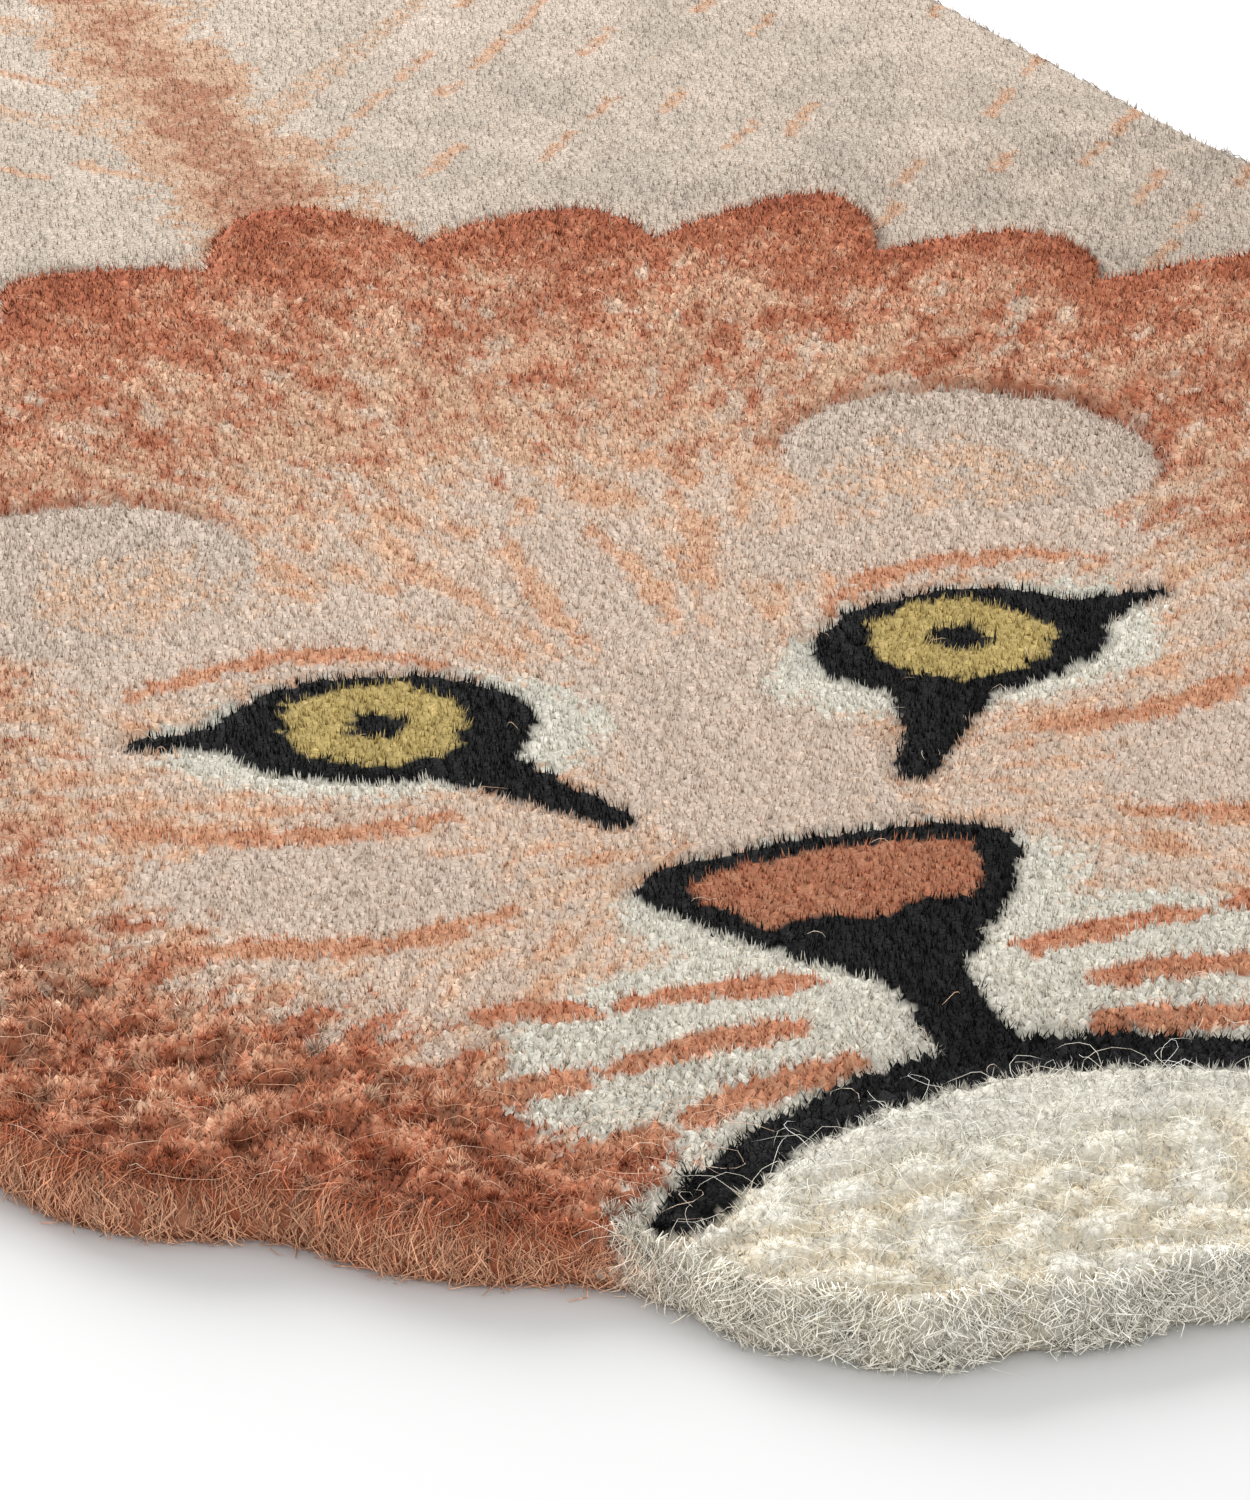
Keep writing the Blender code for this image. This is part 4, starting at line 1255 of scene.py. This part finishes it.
def bumped(tree, strength, distance, **sockets):
    """The normal after a bump by the socket Height, on top of the socket Normal if there is one."""
    values = {"Strength": strength, "Distance": distance, **sockets}
    return add_node(tree, "Bump", values).outputs["Normal"]


def fibre_group():
    """Yarn fibres: the height is the sum of two sets of strongly bent fine bands and a speckle.

    The shade is 1 plus the contrast times what the height is over 1.5, its middle.
    """
    group, given, result = new_group(
        "yarn_fibres", (("Fibre Scale", 130.0), ("Speckle Scale", 900.0), ("Contrast", 0.3)))
    place = add_node(group, "TexCoord", {}).outputs["Object"]
    layers = []
    for direction, distortion in (("DIAGONAL", 14.0), ("X", 11.0)):
        values = {"Vector": place, "Scale": given["Fibre Scale"], "Distortion": distortion, "Detail": 3.0,
                  "Detail Scale": 2.2}
        layers.append(add_node(group, "TexWave", values, bands_direction=direction).outputs["Fac"])
    speckle = add_node(group, "TexNoise", {"Vector": place, "Scale": given["Speckle Scale"], "Detail": 4.0})
    total = maths(group, "ADD", maths(group, "ADD", *layers), speckle.outputs["Fac"])
    over = maths(group, "SUBTRACT", total, 1.5)
    group.links.new(maths(group, "MULTIPLY_ADD", over, given["Contrast"], 1.0), result["Shade"])
    group.links.new(total, result["Height"])
    return group


def tuft_group():
    """Tufts as the cells of a Voronoi pattern, for the coarse pile away from the picture.

    From a cell's middle to its gaps the height falls from 0 to -1 and the shade from 1 to the gap shade.
    Share says how much of that is used.
    """
    group, given, result = new_group(
        "tuft_cells", (("Tufts per Metre", 210.0), ("Gap Shade", 0.86), ("Share", 1.0)))
    place = add_node(group, "TexCoord", {}).outputs["Object"]
    cells = add_node(group, "TexVoronoi", {
        "Vector": place, "Scale": given["Tufts per Metre"], "Randomness": 0.7}).outputs["Distance"]
    gap = add_node(group, "MapRange", {"Value": cells, "From Min": 0.25, "From Max": 0.75},
                   interpolation_type="SMOOTHSTEP").outputs["Result"]
    shared = maths(group, "MULTIPLY", gap, given["Share"])
    depth = maths(group, "SUBTRACT", given["Gap Shade"], 1.0)
    group.links.new(maths(group, "MULTIPLY_ADD", shared, depth, 1.0), result["Shade"])
    group.links.new(maths(group, "MULTIPLY", shared, -1.0), result["Height"])
    return group


def new_material(name, roughness):
    """A material, its node tree, and the inputs of its shader, with that roughness."""
    material = bpy.data.materials.new(name)
    material.use_nodes = True
    shader = material.node_tree.nodes["Principled BSDF"]
    shader.inputs["Roughness"].default_value = roughness
    return material, material.node_tree, shader.inputs


def wool(name, fibres, fibre_scale, contrast, bump, tufts):
    """Wool yarn: the tuft's dyed colour times the fibres' shade, matt, with a fine relief.

    With the group of tufts, their shade and their domes are added by the attribute's alpha.
    """
    roughness, specular = WOOL_SURFACE
    material, tree, shader = new_material(name, roughness)
    shader["Specular IOR Level"].default_value = specular
    dyed = add_node(tree, "Attribute", {}, attribute_name="yarn").outputs
    effect = add_node(
        tree, "Group", {"Fibre Scale": fibre_scale, "Contrast": contrast}, node_tree=fibres).outputs
    colour = scaled(tree, dyed["Color"], effect["Shade"])
    normal = bumped(tree, bump, FIBRE_RELIEF, Height=effect["Height"])
    if tufts:
        cells = add_node(tree, "Group", {"Share": dyed["Alpha"]}, node_tree=tufts).outputs
        colour = scaled(tree, colour, cells["Shade"])
        normal = bumped(tree, *TUFT_RELIEF, Height=cells["Height"], Normal=normal)
    tree.links.new(colour, shader["Base Color"])
    tree.links.new(normal, shader["Normal"])
    return material


def base_cloth():
    """The woven base under the rug: plain natural cloth. Its threads are the larger of two crossed waves."""
    material, tree, shader = new_material("base_cloth", 0.9)
    place = add_node(tree, "TexCoord", {}).outputs["Object"]
    values = {"Vector": place, "Scale": THREADS_PER_METRE / 20.0, "Distortion": 0.6}
    threads = [add_node(tree, "TexWave", values, bands_direction=way).outputs["Fac"] for way in ("X", "Y")]
    cross = maths(tree, "MAXIMUM", *threads)
    tone = add_node(tree, "ValToRGB", {"Fac": cross})
    for stop, colour in zip(tone.color_ramp.elements, CLOTH_COLOURS):
        stop.color = linear(colour) + (1.0,)
    tree.links.new(tone.outputs["Color"], shader["Base Color"])
    tree.links.new(bumped(tree, *CLOTH_RELIEF, Height=cross), shader["Normal"])
    return material


def floor_paint():
    """Plain pale floor, quite matt."""
    material, _, shader = new_material("studio_floor", 0.95)
    shader["Specular IOR Level"].default_value = 0.0
    shader["Base Color"].default_value = (FLOOR_SHADE, FLOOR_SHADE, FLOOR_SHADE, 1.0)
    return material


SHARED = {}


def shared_wool(key):
    """The wool materials, made once, on one group of fibres. Only the ground has the group of tufts."""
    if not SHARED:
        fibres = fibre_group()
        for kind, name, scale, contrast, bump in WOOLS:
            tufts = tuft_group() if kind == "ground" else None
            SHARED[kind] = wool(name, fibres, scale, contrast, bump, tufts)
    return SHARED[key]


# ================================================================ settings
def colour_property(rgb, words):
    """A colour of the panel, from 8 bit sRGB."""
    return bpy.props.FloatVectorProperty(name=words, description=f"Yarn colour. {words}", subtype="COLOR",
                                         size=3, min=0.0, max=1.0, default=linear(rgb))


class RugColours(bpy.types.PropertyGroup):
    """Yarn colours, one for each yarn of the drawing."""
    __annotations__ = {name: colour_property(rgb, words) for name, rgb, words in YARNS}


def length(name, description, default):
    """A length of the panel, in metres."""
    return bpy.props.FloatProperty(name=name, description=description, unit="LENGTH", default=default)


def angle(name, description, degrees):
    """An angle of the panel."""
    return bpy.props.FloatProperty(
        name=name, description=description, subtype="ANGLE", default=math.radians(degrees))


def number(name, description, default):
    """A plain number of the panel."""
    return bpy.props.FloatProperty(name=name, description=description, default=default)


class RugSizes(bpy.types.PropertyGroup):
    """Sizes of the pile."""
    pitch: length("Tuft pitch", "Distance between two tufts", 0.0034)
    far_pitch: length("Tuft pitch elsewhere", "The same away from the picture", 0.0056)
    chin_pitch: length("Chin tuft pitch", "The same in the chin's long locks", 0.0036)
    fibres: number("Fibres of a tuft", "Number of fibre ends on a tuft", 5.0)
    chin_fibres: number("Chin fibres", "The same in the chin", 9.0)
    rim_strands: number("Rim strands", "Number of strands on a millimetre of the rim", 11.0)
    far_rim_strands: number("Rim strands elsewhere", "The same away from the picture", 0.9)
    rim_heads: number("Rim heads", "Fluffy heads on a millimetre of the rim", 0.36)
    loose_fibres: bpy.props.IntProperty(
        name="Loose fibres", description="Number of loose fibres on the pile", default=2400, min=0)


class RugStage(bpy.types.PropertyGroup):
    """Camera and light."""
    turn: angle("Turn", "Turn of the camera round the rug", CAMERA_TURN_DEG)
    height: angle("Height", "Angle of the camera over the floor", 25.3)
    distance: length("Distance", "Camera to the middle of the picture", 1.92)
    lens: number("Lens", "Focal length in millimetres", 192.0)
    light: number("Light", "Power of the large soft light behind the rug, in watts", 142.0)
    front: number("Front light", "Power of the low, wide light in front of the rug, in watts", 16.0)
    fill: number("Fill", "Strength of the light from all around", 0.95)


class RUG_OT_ground(bpy.types.Operator):
    """Dense ground of the pile, a bump for every tuft, on its woven base"""
    bl_idname = "rug.ground"
    bl_label = "Ground and base"

    def execute(self, context):
        rng = np.random.default_rng(SEEDS["ground"])
        yarn = yarn_table(context.scene.rug_colours)
        near, chin, far = all_tufts(context.scene.rug_sizes, yarn)
        vertices, faces, is_base = ground_mesh((near, chin, far))
        rim_count = len(vertices) - sum(len(t.spots) + len(t.gaps) for t in (near, chin)) - len(far.spots)
        rim_colour, _ = yarn_drawing(*vertices[:rim_count, :2].T, yarn, rng)
        # Painted shade on the coarse ground, darker where the pile is shaggy, with random tone.
        far_shade = FAR_SHADE - FAR_ROUGH_DARKER * np.sqrt(far.rough) + rng.normal(0.0, 0.02, len(far.spots))
        coarse = np.zeros(len(vertices))
        coarse[-len(far.spots):] = 1.0
        colours = np.vstack((rim_colour * RIM_SHADE, near.colour, near.gap_colour, chin.colour,
                             chin.gap_colour, far.colour * far_shade[:, None]))
        piece = wool_piece("ground_and_base", vertices, faces, colours, shared_wool("ground"), coarse)
        piece.data.materials.append(base_cloth())
        piece.data.polygons.foreach_set("material_index", is_base.astype(np.int32))
        piece.data.polygons.foreach_set("use_smooth", ~is_base)
        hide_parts("rug")
        return {"FINISHED"}


class RUG_OT_pile(bpy.types.Operator):
    """Fibre ends of the cut pile on face, mane, back, legs and tail"""
    bl_idname = "rug.pile"
    bl_label = "Cut pile"

    def execute(self, context):
        sizes = context.scene.rug_sizes
        yarn = yarn_table(context.scene.rug_colours)
        near, _, far = all_tufts(sizes, yarn)
        rng = np.random.default_rng(SEEDS["pile"])
        x, y = near.spots.T
        face = ellipse_distance(x, y, FACE_OVAL[:2], FACE_OVAL[2:]) < 0.0
        mane = ~face & (y <= BACK_FRONT_Y)
        back = ~face & (y > BACK_FRONT_Y)
        shoulders = back & (y >= SHOULDERS_FRONT_Y)
        fields = (
            # name, tufts, which of them, share of their fibres, length, material
            ("pile_face_left", near, face & (x < 0.0), 1.0, FIBRE_LENGTH, "face"),
            ("pile_face_right", near, face & (x >= 0.0), 1.0, FIBRE_LENGTH, "face"),
            ("pile_mane_left", near, mane & (x < 0.0), 1.0, FIBRE_LENGTH, "mane"),
            ("pile_mane_right", near, mane & (x >= 0.0), 1.0, FIBRE_LENGTH, "mane"),
            ("pile_crown", near, back & ~shoulders, 0.9, FIBRE_LENGTH, "mane"),
            ("pile_shoulders", near, shoulders, 0.62, SHOULDER_FIBRE_LENGTH, "face"),
            ("pile_body", far, EVERY_TUFT, 0.11, FIBRE_LENGTH, "face"),
        )
        for name, tufts, chosen, share, reach, kind in fields:
            ends = fibre_ends(tufts, chosen, sizes.fibres * share, reach, 1.0, rng)
            wool_piece(name, *ends, shared_wool(kind))
        return {"FINISHED"}


class RUG_OT_chin(bpy.types.Operator):
    """Longer, shaggy locks of the chin"""
    bl_idname = "rug.chin"
    bl_label = "Chin locks"

    def execute(self, context):
        sizes = context.scene.rug_sizes
        yarn = yarn_table(context.scene.rug_colours)
        _, chin, _ = all_tufts(sizes, yarn)
        rng = np.random.default_rng(SEEDS["chin"])
        ends = fibre_ends(chin, EVERY_TUFT, sizes.chin_fibres, *CHIN_FIBRE, rng)
        wool_piece("chin_locks", *ends, shared_wool("chin"))
        return {"FINISHED"}


class RUG_OT_rim(bpy.types.Operator):
    """Wall of strands round the rim, and fluffy heads over it and over the mane's front"""
    bl_idname = "rug.rim"
    bl_label = "Rim strands"

    def execute(self, context):
        sizes = context.scene.rug_sizes
        yarn = yarn_table(context.scene.rug_colours)
        rng = np.random.default_rng(SEEDS["rim"])
        wall = rim_strands(sizes.rim_strands, faces_camera, yarn, rng)
        rest = rim_strands(sizes.far_rim_strands, lambda *place: ~faces_camera(*place), yarn, rng)
        wool_piece("rim_strands", *joined((wall, rest)), shared_wool("rim"))
        heads = rim_puffs(sizes.rim_heads, yarn, rng)
        wool_piece("rim_heads", *joined((heads, front_puffs(yarn, rng))), shared_wool("rim"))
        return {"FINISHED"}


class RUG_OT_fibres(bpy.types.Operator):
    """Loose fibres that lie over the pile"""
    bl_idname = "rug.fibres"
    bl_label = "Loose fibres"

    def execute(self, context):
        yarn = yarn_table(context.scene.rug_colours)
        rng = np.random.default_rng(SEEDS["fibres"])
        fibres = wandering(context.scene.rug_sizes.loose_fibres, yarn, rng)
        wool_piece("loose_fibres", *fibres, shared_wool("hair"))
        return {"FINISHED"}


class RUG_OT_stage(bpy.types.Operator):
    """Pale floor, a large soft light behind and a low one in front, and the camera of the picture"""
    bl_idname = "rug.stage"
    bl_label = "Stage"

    def execute(self, context):
        scene = context.scene
        stage = scene.rug_stage
        square = np.array(((-1.0, -1.0), (1.0, -1.0), (1.0, 1.0), (-1.0, 1.0))) * FLOOR_REACH
        corners = np.column_stack((square, np.full(4, -FLOOR_DROP)))
        new_piece("floor", corners, np.array(((0, 1, 2), (0, 2, 3))), floor_paint())

        for name, power, place, aim, size in LIGHTS:
            lamp = bpy.data.lights.new(name, "AREA")
            lamp.shape = "RECTANGLE"
            lamp.size, lamp.size_y = size
            lamp.energy = getattr(stage, power)
            light = bpy.data.objects.new(name, lamp)
            light.location = place
            light.rotation_euler = (Vector(aim) - light.location).to_track_quat("-Z", "Y").to_euler()
            scene.collection.objects.link(light)

        world = bpy.data.worlds.new("studio")
        world.use_nodes = True
        sky = world.node_tree.nodes["Background"].inputs
        sky["Color"].default_value = (1.0, 1.0, 1.0, 1.0)
        sky["Strength"].default_value = stage.fill
        scene.world = world
        scene.view_settings.view_transform = "Standard"

        target = Vector(CAMERA_TARGET) * MM
        back = Vector((-math.sin(stage.turn) * math.cos(stage.height),
                       -math.cos(stage.turn) * math.cos(stage.height), math.sin(stage.height)))
        data = bpy.data.cameras.new("picture")
        data.sensor_width = SENSOR_WIDTH_MM
        data.lens = stage.lens
        data.clip_start, data.clip_end = CAMERA_CLIP
        camera = bpy.data.objects.new("picture", data)
        camera.location = target + back * stage.distance
        camera.rotation_euler = (-back).to_track_quat("-Z", "Y").to_euler()
        scene.collection.objects.link(camera)
        scene.camera = camera
        return {"FINISHED"}


OPERATORS = (RUG_OT_ground, RUG_OT_pile, RUG_OT_chin, RUG_OT_rim, RUG_OT_fibres, RUG_OT_stage)


class RUG_PT_panel(bpy.types.Panel):
    """Sidebar panel with the rug's steps, sizes and colours"""
    bl_idname = "RUG_PT_panel"
    bl_label = "Lion rug"
    bl_space_type = "VIEW_3D"
    bl_region_type = "UI"
    bl_category = "Rug"

    def draw(self, context):
        """A button for each step, and a box for each group of settings."""
        scene = context.scene
        for operator in OPERATORS:
            self.layout.operator(operator.bl_idname)
        for settings in (scene.rug_sizes, scene.rug_colours, scene.rug_stage):
            box = self.layout.box()
            for name in settings.bl_rna.properties.keys():
                if name not in ("rna_type", "name"):
                    box.prop(settings, name)


CLASSES = (RugColours, RugSizes, RugStage) + OPERATORS + (RUG_PT_panel,)


def register():
    """Register the classes and put their settings on the scene."""
    for item in CLASSES:
        bpy.utils.register_class(item)
    bpy.types.Scene.rug_colours = bpy.props.PointerProperty(type=RugColours)
    bpy.types.Scene.rug_sizes = bpy.props.PointerProperty(type=RugSizes)
    bpy.types.Scene.rug_stage = bpy.props.PointerProperty(type=RugStage)


def unregister():
    """Take the settings and the classes away again."""
    for name in ("rug_colours", "rug_sizes", "rug_stage"):
        delattr(bpy.types.Scene, name)
    for item in reversed(CLASSES):
        bpy.utils.unregister_class(item)


def main():
    register()
    for operator in OPERATORS:
        group, name = operator.bl_idname.split(".")
        getattr(getattr(bpy.ops, group), name)()


if __name__ == "__main__":
    main()
